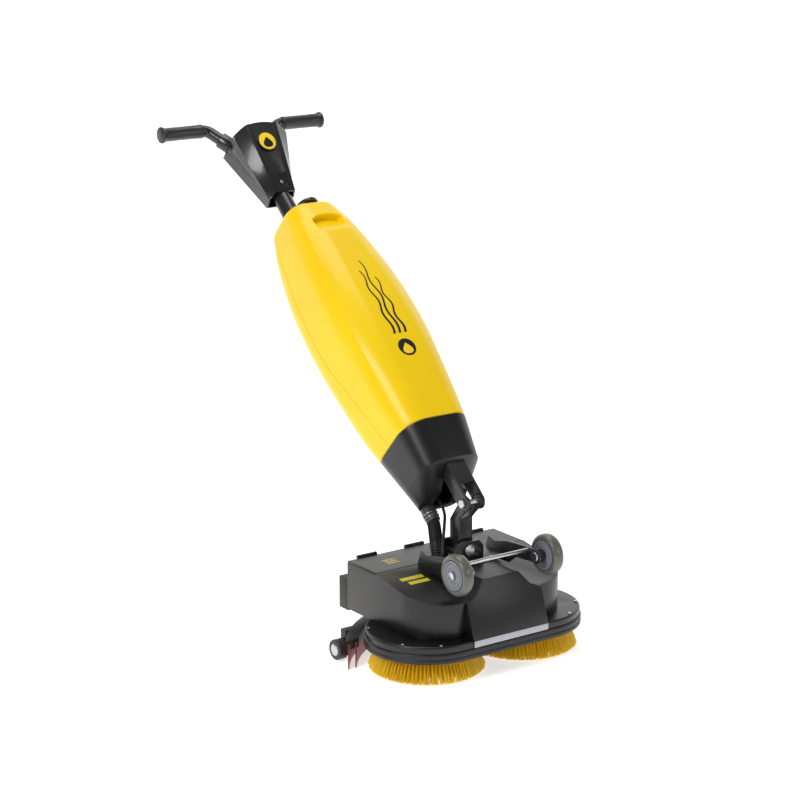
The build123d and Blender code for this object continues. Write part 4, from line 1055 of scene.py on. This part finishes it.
cast, tree, shader, place = new_finish("die_cast_aluminium", 0.45, metallic=1.0)
colour_by(tree, shader, noise(tree, place, 500.0, 3.0), "#7E7F82", "#A5A6A8")
circuit = moulded("fibreglass_circuit_board_green", "#1F6B3A", "#185730", 0.35, 2.0, 0.02)
for node, finish in (("deck_chassis", powder_coat), ("brush_gearboxes", cast),
                     ("brush_motors", powder_coat), ("battery_pack", cast),
                     ("control_board", circuit), ("suction_duct", carrier),
                     ("drive_hub_left", cast), ("drive_hub_right", cast),
                     ("vacuum_motor", carrier)):
    paint(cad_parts[node], finish)

# ---------------------------------------------------------------- studio
# A plain white sweep with a large soft light above left, a fill at the right and a pale surround.

floor_paint, tree, shader, place = new_finish("matt_white_sweep", 0.9)
shader.inputs["Base Color"].default_value = linear("#F4F4F4")
shader.inputs["Specular IOR Level"].default_value = 0.2
shader.inputs["Emission Color"].default_value = (1.0, 1.0, 1.0, 1.0)
shader.inputs["Emission Strength"].default_value = 0.62
builder = bmesh.new()
sweep = [(-6.0, 0.0), (3.5, 0.0), (4.3, 0.1), (5.0, 0.5), (5.4, 1.2), (5.5, 2.2), (5.5, 7.0)]
back_dir = Vector((-0.5816, -0.8135, 0)) * -1
side_dir = Vector((0.8135, -0.5816, 0))
rows = [[builder.verts.new(back_dir * reach + side_dir * x + Vector((0, 0, z)))
         for reach, z in sweep] for x in (-12, 12)]
for i in range(len(sweep) - 1):
    builder.faces.new((rows[0][i], rows[1][i], rows[1][i + 1], rows[0][i + 1]))
floor = mesh_piece("studio_sweep", builder)
floor.data.materials.append(floor_paint)


def soft_light(name, place, aim, size, power):
    """A rectangular soft box at a place, aimed at a point."""
    lamp = bpy.data.lights.new(name, "AREA")
    lamp.shape = "RECTANGLE"
    lamp.size, lamp.size_y = size
    lamp.energy = power
    holder = new_object(name, lamp)
    holder.location = place
    holder.rotation_euler = (Vector(aim) - Vector(place)).to_track_quat("-Z", "Y").to_euler()


soft_light("key_box", (-2.9, -0.6, 2.6), (0, 0.3, 0.5), (1.2, 1.6), 54)
soft_light("front_box", (1.9, -3.2, 1.8), (0, 0.2, 0.4), (1.0, 1.4), 14)
soft_light("top_box", (0.2, 0.8, 3.2), (0, 0.3, 0.3), (1.8, 1.8), 34)
world = bpy.data.worlds.new("pale_surround")
world.use_nodes = True
surround = world.node_tree.nodes["Background"]
surround.inputs["Color"].default_value = (1.0, 1.0, 1.0, 1.0)
surround.inputs["Strength"].default_value = 0.24
bpy.context.scene.world = world
bpy.context.scene.view_settings.view_transform = "Standard"

lens = bpy.data.cameras.new("camera")
lens.lens = 109.12
lens.sensor_width = 36.0
camera = new_object("camera", lens)
camera.location = (-2.6816, -3.5061, 1.6608)
look_down, swing = radians(14.656), radians(-35.565)
camera.rotation_euler = (pi / 2 - look_down, 0, swing)
bpy.context.scene.camera = camera
